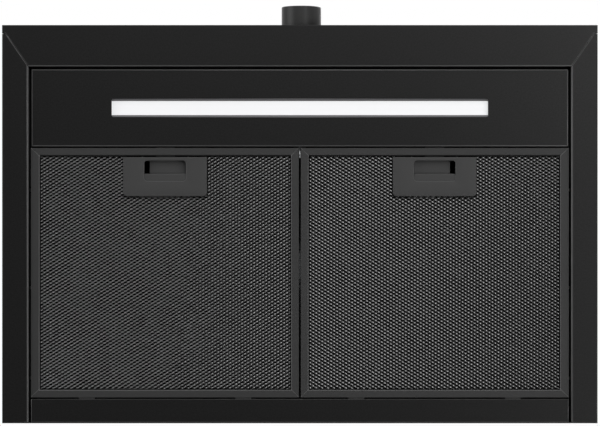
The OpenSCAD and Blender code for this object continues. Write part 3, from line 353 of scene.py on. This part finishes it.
# Some finishes paint light and shade into their colour: highlights on rounded edges and frame seams, and
# shade behind the rim, along the mesh border and inside the casing
FINISHES = {
    "body_black": finish(
        "satin black powder", grey(0.0055), POWDER, 0.31, relief=0.6, relief_depth=0.06, specular=0.35,
        Grain=1100.0, Specks=5.0, Clouds=0.1, Thin_inside=1.0, Pale_edges=12.0),
    "filter_frame": finish(
        "filter frame grey", grey(0.036), POWDER, 0.48, relief=0.25, relief_depth=0.04, specular=0.2,
        Grain=1100.0, Specks=0.3, Thin_inside=0.5, Pale_edges=1.3, Pale_seams=1.5),
    "expanded_mesh": finish(
        "mesh grey", grey(0.18), ROLLED, 0.28, metallic=0.9, relief=0.2,
        Lines=900.0, Strength=0.35, Dark_border=0.85),
    "grease_pad": finish(
        "dark inner layers", grey(0.002), ROLLED, 0.7, relief=0.3, specular=0.08,
        Lines=400.0, Strength=0.6),
    "handle_grey": finish(
        "handle grey", grey(0.047), POWDER, 0.5, relief=0.25, relief_depth=0.04, specular=0.2,
        Grain=1200.0, Specks=0.2, Pale_edges=0.5),
    "galvanised": finish(
        "galvanised sheet", (0.50, 0.51, 0.52), ROLLED, 0.36, metallic=1.0, relief=0.15,
        Lines=700.0, Strength=0.35, Dark_inside=0.85),
    "bright_steel": finish(
        "drawn steel", (0.58, 0.58, 0.59), ROLLED, 0.26, metallic=1.0, relief=0.1,
        Lines=1800.0, Strength=0.2),
    "anodised": finish(
        "satin aluminium", (0.15, 0.15, 0.154), ROLLED, 0.4, metallic=0.6, relief=0.1,
        Lines=1500.0, Strength=0.15),
    "diffuser_white": finish(
        "lit diffuser", grey(0.45), POWDER, 0.5, relief=0.02, glow=(0.495, 0.50, 0.51),
        Grain=500.0, Specks=0.02, Clouds=0.01),
    "black_plastic": finish(
        "moulded black plastic", (0.018, 0.018, 0.019), POWDER, 0.5, relief=0.3, specular=0.4,
        Grain=1600.0, Specks=0.3),
    "knob_black": finish(
        "knob black", grey(0.034), POWDER, 0.32, relief=0.15, specular=0.12,
        Grain=1800.0, Specks=0.3, Clouds=0.05),
    "white_plastic": finish(
        "moulded white plastic", (0.68, 0.68, 0.66), POWDER, 0.45, relief=0.15, Grain=1300.0, Specks=0.1),
    "circuit_board": finish(
        "white circuit board", (0.72, 0.74, 0.70), POWDER, 0.4, relief=0.1, Grain=900.0, Specks=0.1),
}
SLOT_OF = {part["node"]: part["material_slot"] for part in frame["record"]["subparts"]}


def dress(piece, slot):
    """Gives a piece the finish of a slot, all over."""
    piece.data.materials.clear()
    piece.data.materials.append(FINISHES[slot])
    return piece


for name, cad_node in nodes.items():
    for index in range(len(cad_node.material_slots)):
        cad_node.material_slots[index].material = FINISHES[SLOT_OF[name]]


# Pieces

def stand_for(piece, node):
    """The piece takes a CAD node's place: its body, its slot and its finish."""
    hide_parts(node)
    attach(piece, nodes[node]["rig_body"])
    return dress(piece, SLOT_OF[node])


def new_piece(name, points, faces):
    """A mesh object at the origin from arrays of points and of four-cornered faces."""
    mesh = bpy.data.meshes.new(name)
    mesh.from_pydata(points.reshape(-1, 3).tolist(), [], faces.reshape(-1, 4).tolist())
    mesh.update()
    piece = bpy.data.objects.new(name, mesh)
    bpy.context.scene.collection.objects.link(piece)
    return piece


def grid_faces(rows, columns):
    """Faces of a grid of points: each joins a point, its neighbour in the row and the two in the next
    row."""
    first = np.arange(rows - 1)[:, None] * columns + np.arange(columns - 1)[None, :]
    return np.stack([first, first + 1, first + columns + 1, first + columns], axis=-1).reshape(-1, 4)


def mark_edges(piece, faces):
    """The attribute edge, where a highlight is painted paler: 1 on the rounded faces and 0 on the others.
    """
    marks = piece.data.attributes.new("edge", "FLOAT", "FACE")
    marks.data.foreach_set("value", np.asarray(faces, np.float32).ravel())


def round_off(piece, sharp):
    """Merges a piece's doubles, closes its holes, turns its faces outwards and shades it smooth up to an
    angle."""
    work = bmesh.new()
    work.from_mesh(piece.data)
    bmesh.ops.remove_doubles(work, verts=work.verts, dist=0.01 * MM)
    bmesh.ops.holes_fill(work, edges=work.edges)
    bmesh.ops.recalc_face_normals(work, faces=work.faces)
    for polygon in work.faces:
        polygon.smooth = True
    work.to_mesh(piece.data)
    work.free()
    piece.data.set_sharp_from_angle(angle=math.radians(sharp))


# Angles between faces: at most this in a flat region, at least this at an edge that is rounded, and at
# most this between the faces of a curved surface
FLAT = math.radians(0.6)
SHARP = math.radians(30)
CURVED = math.radians(25)
# How near a point on a plane lies to it
TOUCH = 0.01 * MM


def gathered(parts, neighbours):
    """The parts of a mesh in groups of neighbours. They are walked in the order given and never in that
    of a set, so that each run gives the same result."""
    seen = set()
    groups = []
    for first in parts:
        if first in seen:
            continue
        seen.add(first)
        group, front = [], [first]
        while front:
            part = front.pop()
            group.append(part)
            for other in neighbours(part):
                if other not in seen:
                    seen.add(other)
                    front.append(other)
        groups.append(group)
    return groups


def flat_regions(work):
    """The flat regions of a mesh: lists of faces that join across edges with no angle."""
    return gathered(work.faces, lambda face: [other for edge in face.edges for other in edge.link_faces
                                              if edge.calc_face_angle(math.pi) < FLAT])


def outlines(region):
    """The closed outlines of a flat region, each as a list of its corner points."""
    inside = set(region)
    border = [edge for face in region for edge in face.edges
              if sum(other in inside for other in edge.link_faces) == 1]
    known = set(border)
    rings = gathered(border, lambda edge: [other for vert in edge.verts for other in vert.link_edges
                                           if other in known])
    return [[vert for edge in ring for vert in edge.verts] for ring in rings]


def span(points):
    """The lowest and the highest corner of some mesh points."""
    places = np.array([vert.co for vert in points])
    return places.min(axis=0), places.max(axis=0)


def cut_across_holes(work):
    """Cuts each flat region that has holes straight across, through the middle of each hole and along the
    region's short way, and marks the cuts as seams, so that no face has to go round a hole."""
    for region in flat_regions(work):
        rings = outlines(region)
        if len(rings) < 2:
            continue
        low, high = span(sum(rings, []))
        size = np.where(np.abs(region[0].normal) < 0.05, high - low, 0)
        axis = int(np.argmax(size))
        rings.sort(key=lambda ring: -np.linalg.norm(np.subtract(*span(ring))))
        places = sorted({round(float(sum(span(ring))[axis]) / 2, 5) for ring in rings[1:]})
        faces = region
        for place in places:
            geometry = dict.fromkeys(faces)
            for face in faces:
                geometry.update(dict.fromkeys([*face.edges, *face.verts]))
            direction = [1.0 if i == axis else 0.0 for i in range(3)]
            centre = [place if i == axis else 0.0 for i in range(3)]
            cut = bmesh.ops.bisect_plane(work, geom=list(geometry), dist=0.001 * MM, plane_co=centre,
                                         plane_no=direction)
            for item in cut["geom_cut"]:
                if isinstance(item, bmesh.types.BMEdge):
                    item.seam = True
            faces = [item for item in cut["geom"] if isinstance(item, bmesh.types.BMFace)]


def lies_on(edge, axis, place):
    """Whether an edge lies in the plane across an axis at a place."""
    return all(abs(vert.co[axis] - place) < TOUCH for vert in edge.verts)


def softened(node, radius, outer=False, planes=()):
    """A CAD sheet piece with rounded edges: a copy with its doubles merged and its flat faces joined,
    then a bevel. A bevel is narrower where it borders a thin face, whose width is its area over half its
    outline. On a thin wall the edge that looks down takes most of the width, as on a rolled hem. Where
    planes are named by their axes, only the edges in the lowest plane across each such axis are rounded,
    or of them only the outer outline, and the edge along the front is crisper. The new faces are marked
    by the attribute edge. No point leaves the CAD node's box."""
    low, high = (np.array(corner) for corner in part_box(node))
    mesh = bpy.data.meshes.new(node + "_soft")
    work = bmesh.new()
    work.from_mesh(nodes[node].data)
    bmesh.ops.remove_doubles(work, verts=work.verts, dist=0.002 * MM)
    cut_across_holes(work)
    bmesh.ops.dissolve_limit(work, angle_limit=FLAT, verts=work.verts, edges=work.edges, delimit={"SEAM"})
    weight = work.edges.layers.float.new("bevel_weight_edge")
    width = {face: 2 * face.calc_area() / face.calc_perimeter() for face in work.faces}
    shortest = 4 * MM
    for edge in work.edges:
        if len(edge.link_faces) != 2 or not edge.is_convex or edge.calc_face_angle(0) < SHARP:
            continue
        if planes and (edge.calc_length() < shortest or not any(lies_on(edge, i, low[i]) for i in planes)):
            continue
        if outer and not any(lies_on(edge, i, side[i]) for i in (0, 1) for side in (low, high)):
            continue
        thin, wide = sorted(edge.link_faces, key=width.get)
        share = 0.4 if thin.normal.z < -0.7 else 0.65 if wide.normal.z < -0.7 else 0.25
        crisp = 0.3 if planes and lies_on(edge, 1, low[1]) else 1.0
        edge[weight] = crisp * max(0.05, min(1.0, share * width[thin] / radius))
    for face in work.faces:
        face.smooth = any(FLAT < edge.calc_face_angle(0) < CURVED for edge in face.edges)
    work.to_mesh(mesh)
    work.free()
    if "custom_normal" in mesh.attributes:
        mesh.attributes.remove(mesh.attributes["custom_normal"])
    mesh.materials.append(None)
    mesh.materials.append(None)
    piece = bpy.data.objects.new(node + "_soft", mesh)
    bpy.context.scene.collection.objects.link(piece)
    bevel = piece.modifiers.new("edges", "BEVEL")
    bevel.limit_method = "WEIGHT"
    bevel.width = radius
    bevel.segments = 4
    bevel.use_clamp_overlap = False
    bevel.loop_slide = False
    bevel.material = 1
    rounded = bpy.data.meshes.new_from_object(piece.evaluated_get(bpy.context.evaluated_depsgraph_get()))
    piece.modifiers.clear()
    piece.data = rounded
    bpy.data.meshes.remove(mesh)
    points = np.empty(len(rounded.vertices) * 3)
    rounded.vertices.foreach_get("co", points)
    rounded.vertices.foreach_set("co", np.clip(points.reshape(-1, 3), low, high).ravel())
    curved = np.empty(len(rounded.polygons), bool)
    new_face = np.empty(len(rounded.polygons), np.int32)
    rounded.polygons.foreach_get("use_smooth", curved)
    rounded.polygons.foreach_get("material_index", new_face)
    rounded.set_sharp_from_angle(angle=math.radians(50))
    rounded.polygons.foreach_set("use_smooth", curved | (new_face == 1))
    rounded.polygons.foreach_set("material_index", np.zeros(len(new_face), np.int32))
    mark_edges(piece, new_face == 1)
    return stand_for(piece, node)


# Expanded mesh of the filters

LONG_WAY = 7.64 * MM
SHORT_WAY = 4.555 * MM
BOND = 2.1 * MM
ROW_SLANT = 0.0105
STRAND_THICK = 0.32 * MM
# Along one pitch, at the ends of the near and of the far bond: strand width, height and tilt
STRAND_WIDTH = np.array([1.5, 0.95, 0.95, 1.5]) * MM
STRAND_HEIGHT = np.array([-0.16, 0.16, 0.16, -0.16]) * MM
STRAND_TILT = np.radians([-28, 24, 24, -28])
MESH_MIDDLE = 1.75 * MM


def strands(rows, first, last, origin):
    """Strands of expanded metal in the rows given, from step first to step last along X. A strand's
    centre is at y = row * SHORT_WAY / 2 plus or minus a swing: its wave is a trapezoid, flat over each
    bond and straight between them, and every second row is half a pitch further on, so that neighbours
    meet at the bonds. The section is a flat bar, turned by its tilt about X. Each end is closed by one
    face."""
    step = np.arange(first, last + 1)[None, :]
    row = np.asarray(rows)[:, None]
    phase = (step + 2 * row) % 4
    swing = SHORT_WAY / 4 - STRAND_WIDTH[phase] / 2.6
    side = np.where(phase < 2, 1.0, -1.0)
    x = origin[0] + (step // 2) * LONG_WAY / 2 + (step % 2) * BOND + 0 * row
    y = origin[1] + row * SHORT_WAY / 2 + side * swing + ROW_SLANT * (x - origin[0])
    z = origin[2] + STRAND_HEIGHT[phase]
    half_w, half_t, tilt = STRAND_WIDTH[phase] / 2, STRAND_THICK / 2, STRAND_TILT[phase]
    across = np.array([-1, 1, 1, -1]) * half_w[..., None]
    up = np.array([-1, -1, 1, 1]) * half_t
    corner_y = y[..., None] + across * np.cos(tilt)[..., None] - up * np.sin(tilt)[..., None]
    corner_z = z[..., None] + across * np.sin(tilt)[..., None] + up * np.cos(tilt)[..., None]
    points = np.stack([np.broadcast_to(x[..., None], corner_y.shape), corner_y, corner_z], axis=-1)
    count, steps = points.shape[0], points.shape[1]
    base = (np.arange(count)[:, None] * steps + np.arange(steps)[None, :]) * 4
    a = base[:, :-1, None] + np.arange(4)
    b = base[:, :-1, None] + (np.arange(4) + 1) % 4
    walls = np.stack([a, a + 4, b + 4, b], axis=-1).reshape(-1, 4)
    ends = np.concatenate([base[:, 0, None] + np.arange(4), base[:, -1, None] + np.arange(4)[::-1]])
    return points.reshape(-1, 3), np.concatenate([walls, ends])


def joined(blocks):
    """Several blocks of points and faces as one."""
    starts = np.cumsum([0] + [len(points) for points, _ in blocks[:-1]])
    return (np.concatenate([points for points, _ in blocks]),
            np.concatenate([faces + start for (_, faces), start in zip(blocks, starts)]))


def mirrored(points, faces):
    """The same shape on the other side of the hood, with its faces still outwards."""
    return points * np.array([-1, 1, 1]), faces[:, ::-1]


def expanded_mesh(side):
    """The lower mesh of one filter, drawn for the right side: full rows behind the handle, split rows
    beside it."""
    low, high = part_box("filter_mesh_right")
    plate_low, plate_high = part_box("handle_plate_right")
    hidden = 5.5 * MM
    lap = 2.5 * MM
    left, right = low.x + hidden, high.x - hidden
    front, rear = low.y + hidden, high.y - hidden
    origin = np.array([(left + right) / 2, front, low.z + MESH_MIDDLE])

    def step_at(x):
        return int(round((x - origin[0]) / (LONG_WAY / 2))) * 2

    rows = np.arange(int((rear - front) / (SHORT_WAY / 2)) + 1)
    split = int((plate_high.y - lap - front) / (SHORT_WAY / 2))
    blocks = [
        strands(rows[split:], step_at(left), step_at(right), origin),
        strands(rows[:split], step_at(left), step_at(plate_low.x + lap), origin),
        strands(rows[:split], step_at(plate_high.x - lap), step_at(right), origin),
    ]
    points, faces = joined(blocks)
    if side == "left":
        points, faces = mirrored(points, faces)
    return stand_for(new_piece(f"expanded_mesh_{side}", points, faces), f"filter_mesh_{side}")


def crimped_pad(side):
    """The layers between the two meshes: a sheet whose height is two crossing waves, given the pad's
    thickness."""
    low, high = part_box("filter_pad_right")
    housing_low, housing_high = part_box("latch_housing_right")
    pitch = 2.4 * MM
    inset = 0.6 * MM
    depth = 0.45 * MM
    columns = int((high.x - low.x) / pitch)
    rows = int((high.y - low.y) / pitch)
    x, y = np.meshgrid(np.linspace(low.x + inset, high.x - inset, columns),
                       np.linspace(low.y + inset, high.y - inset, rows))
    along_x = np.sin(x / (1.9 * MM) + 2 * np.sin(y / (14 * MM)))
    along_y = np.sin(y / (2.3 * MM) + 1.5 * np.sin(x / (11 * MM)))
    wave = along_x * along_y
    bottom = low.z + 1.2 * MM
    points = np.stack([x, y, bottom + depth * (1.2 + wave)], axis=-1).reshape(-1, 3)
    faces = grid_faces(rows, columns)
    middle = points[faces].mean(axis=1)
    margin = 3 * MM
    in_latch = ((middle[:, 0] > housing_low.x - margin) & (middle[:, 0] < housing_high.x + margin)
                & (middle[:, 1] < housing_high.y + margin))
    faces = faces[~in_latch]
    used, faces = np.unique(faces, return_inverse=True)
    points, faces = points[used], faces.reshape(-1, 4)
    faces = faces[:, ::-1]
    if side == "left":
        points, faces = mirrored(points, faces)
    piece = new_piece(f"crimped_pad_{side}", points, faces)
    body = piece.modifiers.new("thickness", "SOLIDIFY")
    body.thickness = high.z - bottom - 2.6 * depth
    body.offset = -1
    return stand_for(piece, f"filter_pad_{side}")


# Rolled inner edge of the filter frames

# The frames' sheets stand back by so much from the clip between them and from the light panel
MIDDLE_PLAY = 0.4 * MM
FRONT_PLAY = 0.6 * MM


def rolled_edge(side):
    """The inner edge of a frame's border, turned up into the mesh: the border's sheet is drawn back to
    where the roll starts, and the roll is a quarter round, carried along the four sides with a mitre in
    each corner."""
    low, high = frame_limits()
    start = ROLL_END - ROLL_RADIUS
    mesh = bpy.data.objects[f"filter_frame_{side}_soft"].data
    points = np.empty(len(mesh.vertices) * 3)
    mesh.vertices.foreach_get("co", points)
    points = points.reshape(-1, 3)
    sign = -1 if side == "left" else 1
    x = points[:, 0] * sign
    y = points[:, 1]
    inner = ((points[:, 2] < low[2] + 0.9 * MM) & (x > low[0] + BORDER - MM) & (x < high[0] - BORDER + MM)
             & (y > low[1] + BORDER - MM) & (y < high[1] - BORDER + MM))
    for values, axis, near, far in ((x, 0, start[0], start[1]), (y, 1, start[2], start[3])):
        at_low = inner & (values < low[axis] + BORDER + MM)
        at_high = inner & (values > high[axis] - BORDER - MM)
        values[at_low] = np.minimum(values[at_low], low[axis] + near)
        values[at_high] = np.maximum(values[at_high], high[axis] - far)
    beside_clip = x < low[0] + MM
    x[beside_clip] = np.maximum(x[beside_clip], low[0] + MIDDLE_PLAY)
    y[y < low[1] + MM] += FRONT_PLAY
    points[:, 0] = x * sign
    mesh.vertices.foreach_set("co", points.ravel())
    mesh.update()

    sheet = 0.5 * MM
    turn = np.linspace(0, math.pi / 2, 8)
    end = ROLL_RADIUS + 0.4 * MM
    outside = np.stack([ROLL_RADIUS * (1 - np.sin(turn)), ROLL_RADIUS * (1 - np.cos(turn))], axis=-1)
    inside = np.stack([ROLL_RADIUS - (ROLL_RADIUS - sheet) * np.sin(turn),
                       ROLL_RADIUS - (ROLL_RADIUS - sheet) * np.cos(turn)], axis=-1)
    profile = np.concatenate([outside, [[0, end], [sheet, end]], inside[::-1]])
    away, up = profile[:, 0], low[2] + profile[:, 1]
    x0, x1 = low[0] + ROLL_END[0] - away, high[0] - ROLL_END[1] + away
    y0, y1 = low[1] + ROLL_END[2] - away, high[1] - ROLL_END[3] + away
    ring = np.stack([np.stack(corner, axis=-1) for corner in
                     ((x0, y0, up), (x1, y0, up), (x1, y1, up), (x0, y1, up))])
    count = len(profile)
    corner = np.arange(4)[:, None]
    step = np.arange(count)[None, :]
    after, following = (corner + 1) % 4, (step + 1) % count
    faces = np.stack([corner * count + step, after * count + step, after * count + following,
                      corner * count + following], axis=-1).reshape(-1, 4)
    points = ring.reshape(-1, 3)
    if side == "left":
        points, faces = mirrored(points, faces)
    piece = new_piece(f"rolled_edge_{side}", points, faces)
    turned = (step >= 1) & (step <= 3) & (corner > 0)
    mark_edges(piece, turned)
    round_off(piece, 40)
    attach(piece, nodes[f"filter_frame_{side}"]["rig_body"])
    return dress(piece, SLOT_OF[f"filter_frame_{side}"])


# Handle plates

def rounded_outline(low, high, radii, steps=8):
    """Points round a rectangle with four rounded corners: rear right, rear left, front left, front
    right."""
    corners = []
    for index, radius in enumerate(radii):
        sx, sy = ((1, 1), (-1, 1), (-1, -1), (1, -1))[index]
        centre = np.array([high[0] - radius if sx > 0 else low[0] + radius,
                           high[1] - radius if sy > 0 else low[1] + radius])
        angle = np.linspace(0, math.pi / 2, steps) + index * math.pi / 2
        corners.append(centre + radius * np.stack([np.cos(angle), np.sin(angle)], axis=-1))
    return np.concatenate(corners)


def handle_plate(side):
    """The plate round a finger opening. Its section runs up the opening's wall, round the lower edge,
    along the flat face, round the outer edge and back over the top, and is carried round the opening."""
    low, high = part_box("handle_plate_right")
    thick = high.z - low.z
    edge = 0.7 * MM
    outer_radii = np.array([5, 5, 0.8, 0.8]) * MM
    middle = (low.x + high.x) / 2
    half_opening, opening_front, opening_rear = 26.7 * MM, 4.4 * MM, 30.6 * MM
    opening_low = np.array([middle - half_opening, low.y + opening_front])
    opening_high = np.array([middle + half_opening, low.y + opening_rear])
    opening_radii = np.full(4, 4.2 * MM)
    turn = np.linspace(0, math.pi / 2, 5)
    rows = []
    for out, up in [(0.0, thick)] + [(edge * (1 - math.cos(a)), edge * (1 - math.sin(a))) for a in turn]:
        outline = rounded_outline(opening_low - out, opening_high + out, opening_radii + out)
        rows.append(np.column_stack([outline, np.full(len(outline), low.z + up)]))
    for a in turn[::-1]:
        inset = edge * (1 - math.cos(a))
        outline = rounded_outline(np.array(low[:2]) + inset, np.array(high[:2]) - inset,
                                  outer_radii - inset)
        rows.append(np.column_stack([outline, np.full(len(outline), low.z + edge * (1 - math.sin(a)))]))
    outline = rounded_outline(low[:2], high[:2], outer_radii)
    rows.append(np.column_stack([outline, np.full(len(outline), high.z)]))
    points = np.stack(rows)
    count = points.shape[1]
    row = np.arange(len(rows))[:, None]
    step = np.arange(count)[None, :]
    next_row, next_step = (row + 1) % len(rows), (step + 1) % count
    faces = np.stack([row * count + step, row * count + next_step, next_row * count + next_step,
                      next_row * count + step], axis=-1).reshape(-1, 4)
    points = points.reshape(-1, 3)
    if side == "left":
        points, faces = mirrored(points, faces)
    piece = new_piece(f"pressed_plate_{side}", points, faces)
    rounded = (row >= 1) & (row <= 4) & (step >= 0)
    mark_edges(piece, rounded)
    round_off(piece, 40)
    return stand_for(piece, f"handle_plate_{side}")


# Latch springs

def coil_spring(side):
    """A spring of round wire, drawn for the right side: a ring of points is carried round the axis, which
    lies along Y, and moves along it too, but not over the first and the last 0.7 turn."""
    low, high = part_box("latch_spring_right")
    wire, turns, closed = 0.4 * MM, 6, 0.7
    turn = np.linspace(0, turns, turns * 24 + 1)
    angle = (turn * 2 * math.pi)[:, None]
    advance = np.clip((turn - closed) / (turns - 2 * closed), 0, 1)[:, None]
    along = low.y + wire + (high.y - low.y - 2 * wire) * advance
    round_wire = (np.arange(9) * math.pi / 4)[None, :]
    radius = (high.x - low.x) / 2 - wire + wire * np.cos(round_wire)
    points = np.stack([(low.x + high.x) / 2 + radius * np.cos(angle), along + wire * np.sin(round_wire),
                       (low.z + high.z) / 2 + radius * np.sin(angle)], axis=-1).reshape(-1, 3)
    faces = grid_faces(len(turn), 9)
    if side == "left":
        points, faces = mirrored(points, faces)
    piece = new_piece(f"coil_spring_{side}", points, faces)
    round_off(piece, 60)
    stand_for(piece, f"latch_spring_{side}")
    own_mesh(piece)


# Turned knob

def turned_knob():
    """The knob as a profile turned about its axis: a dished face, a round front edge and plain flanks,
    with the hollow behind."""
    low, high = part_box("knob")
    centre = Vector(((low.x + high.x) / 2, 0, (low.z + high.z) / 2))
    radius = (high.x - low.x) / 2
    length = high.y - low.y
    edge = 1.4 * MM
    dish = 0.35 * MM
    rim = radius - edge
    face = [(rim * t, dish * (1 - t ** 2)) for t in np.linspace(0.002, 0.96, 9)]
    corner = [(rim + edge * math.sin(a), edge - edge * math.cos(a)) for a in np.linspace(0, math.pi / 2, 9)]
    flank = [(radius, length - 0.4 * MM), (radius - 0.4 * MM, length)]
    hollow, hub, hub_end, bore, bore_end = radius - 3 * MM, 8 * MM, length - 4 * MM, 3.2 * MM, 9 * MM
    inside = [(hollow, length), (hollow, hub), (hub, hub), (hub, hub_end), (bore, hub_end),
              (bore, bore_end), (0.002 * rim, bore_end)]
    profile = np.array(face + corner + flank + inside)
    turns = 96
    angle = np.arange(turns + 1) * 2 * math.pi / turns
    r, depth = profile[None, :, 0], profile[None, :, 1]
    points = np.stack([centre.x + r * np.cos(angle)[:, None], low.y + depth + 0 * angle[:, None],
                       centre.z + r * np.sin(angle)[:, None]], axis=-1)
    piece = new_piece("turned_knob", points, grid_faces(turns + 1, len(profile)))
    round_off(piece, 35)
    return stand_for(piece, "knob")


for hand in ("left", "right"):
    expanded_mesh(hand)
    crimped_pad(hand)
    handle_plate(hand)
    coil_spring(hand)
turned_knob()

# In millimetres
EDGE_RADIUS = {
    "front_panel": 1.5, "left_side_panel": 2.2, "right_side_panel": 2.2, "canopy_panel": 1.2,
    "back_panel": 0.8, "rear_rail": 0.9, "light_panel": 1.4,
    "filter_frame_left": 0.3, "filter_frame_right": 0.3,
    "latch_housing_left": 0.3, "latch_housing_right": 0.3,
    "latch_slider_left": 0.5, "latch_slider_right": 0.5,
    "centre_clip": 0.25, "duct_collar": 0.3, "motor": 0.5, "capacitor": 1.0, "wiring_box": 0.5,
    "wiring_box_cover": 0.4, "cable_bush": 0.5, "control_box": 1.0, "light_driver": 1.0,
    "blower_hangers": 0.5, "switch_body": 0.5, "casing_screws": 0.3, "terminal_block": 0.5,
}
# Axes of the planes whose edges are rounded; the other edges of these pieces are hidden
VISIBLE_PLANES = dict.fromkeys(
    ("front_panel", "left_side_panel", "right_side_panel", "light_panel", "rear_rail",
     "filter_frame_left", "filter_frame_right"), (2,))
for name, millimetres in EDGE_RADIUS.items():
    softened(name, millimetres * MM, outer="filter_frame" in name, planes=VISIBLE_PLANES.get(name, ()))
for hand in ("left", "right"):
    rolled_edge(hand)


# Light and camera

def area_lamp(name, place, target, size, power):
    """A soft square lamp at a place, turned towards a target."""
    data = bpy.data.lights.new(name, "AREA")
    data.size = size
    data.energy = power
    lamp = bpy.data.objects.new(name, data)
    lamp.location = place
    lamp.rotation_euler = (Vector(target) - Vector(place)).to_track_quat("-Z", "Y").to_euler()
    bpy.context.scene.collection.objects.link(lamp)


MIDDLE = (0, -0.27, 0.05)
area_lamp("right front", (1.48, -1.07, -3.12), MIDDLE, 1.2, 13.8)
area_lamp("right rear", (1.75, 0.53, -2.98), MIDDLE, 1.2, 13.4)
area_lamp("right side", (2.87, 0.53, -1.96), MIDDLE, 1.2, 37.5)
area_lamp("left side", (-3.25, -1.07, -1.26), MIDDLE, 2.2, 60)
area_lamp("front below", (0, -1.91, -3.04), MIDDLE, 1.2, 14)
area_lamp("front", (0.42, -3.03, -2.1), MIDDLE, 1.8, 41)
area_lamp("above", (1.2, -2.0, 2.6), MIDDLE, 2.0, 60)


def white_world():
    """Plain soft light, and white wherever the camera, a reflection or clear glass looks past the
    object."""
    world = bpy.data.worlds.new("world")
    world.use_nodes = True
    tree = world.node_tree
    tree.nodes.clear()
    path = add(tree, "ShaderNodeLightPath")
    seen = math_node(tree, "MAXIMUM", path.outputs["Is Camera Ray"], path.outputs["Is Glossy Ray"])
    seen = math_node(tree, "MAXIMUM", seen, path.outputs["Is Transmission Ray"])
    soft = add(tree, "ShaderNodeBackground", Color=(1, 1, 1, 1), Strength=0.13)
    white = add(tree, "ShaderNodeBackground", Color=(1, 1, 1, 1), Strength=1.0)
    mix = add(tree, "ShaderNodeMixShader", in0=seen, in1=soft.outputs[0], in2=white.outputs[0])
    end = add(tree, "ShaderNodeOutputWorld")
    tree.links.new(mix.outputs[0], end.inputs["Surface"])
    bpy.context.scene.world = world


white_world()

floor_half = 30.0
floor_z = -6.5
floor = new_piece("floor", np.array([[-1, -1, 0], [1, -1, 0], [1, 1, 0], [-1, 1, 0]], float)
                  * floor_half + np.array([0, 0, floor_z]), np.array([[0, 1, 2, 3]]))
floor.data.materials.append(finish("pale floor", grey(0.8), POWDER, 0.9, relief=0.0, specular=0.1,
                                   backdrop=0.72, Grain=40.0, Specks=0.01))

camera_data = bpy.data.cameras.new("camera")
camera_data.sensor_width = 36
camera_data.lens = 141.13
camera = bpy.data.objects.new("camera", camera_data)
camera.location = (0.0002, -0.2682, -3.0)
camera.rotation_euler = (math.pi, 0, 0)
bpy.context.scene.collection.objects.link(camera)
bpy.context.scene.camera = camera
bpy.context.scene.view_settings.view_transform = "Standard"
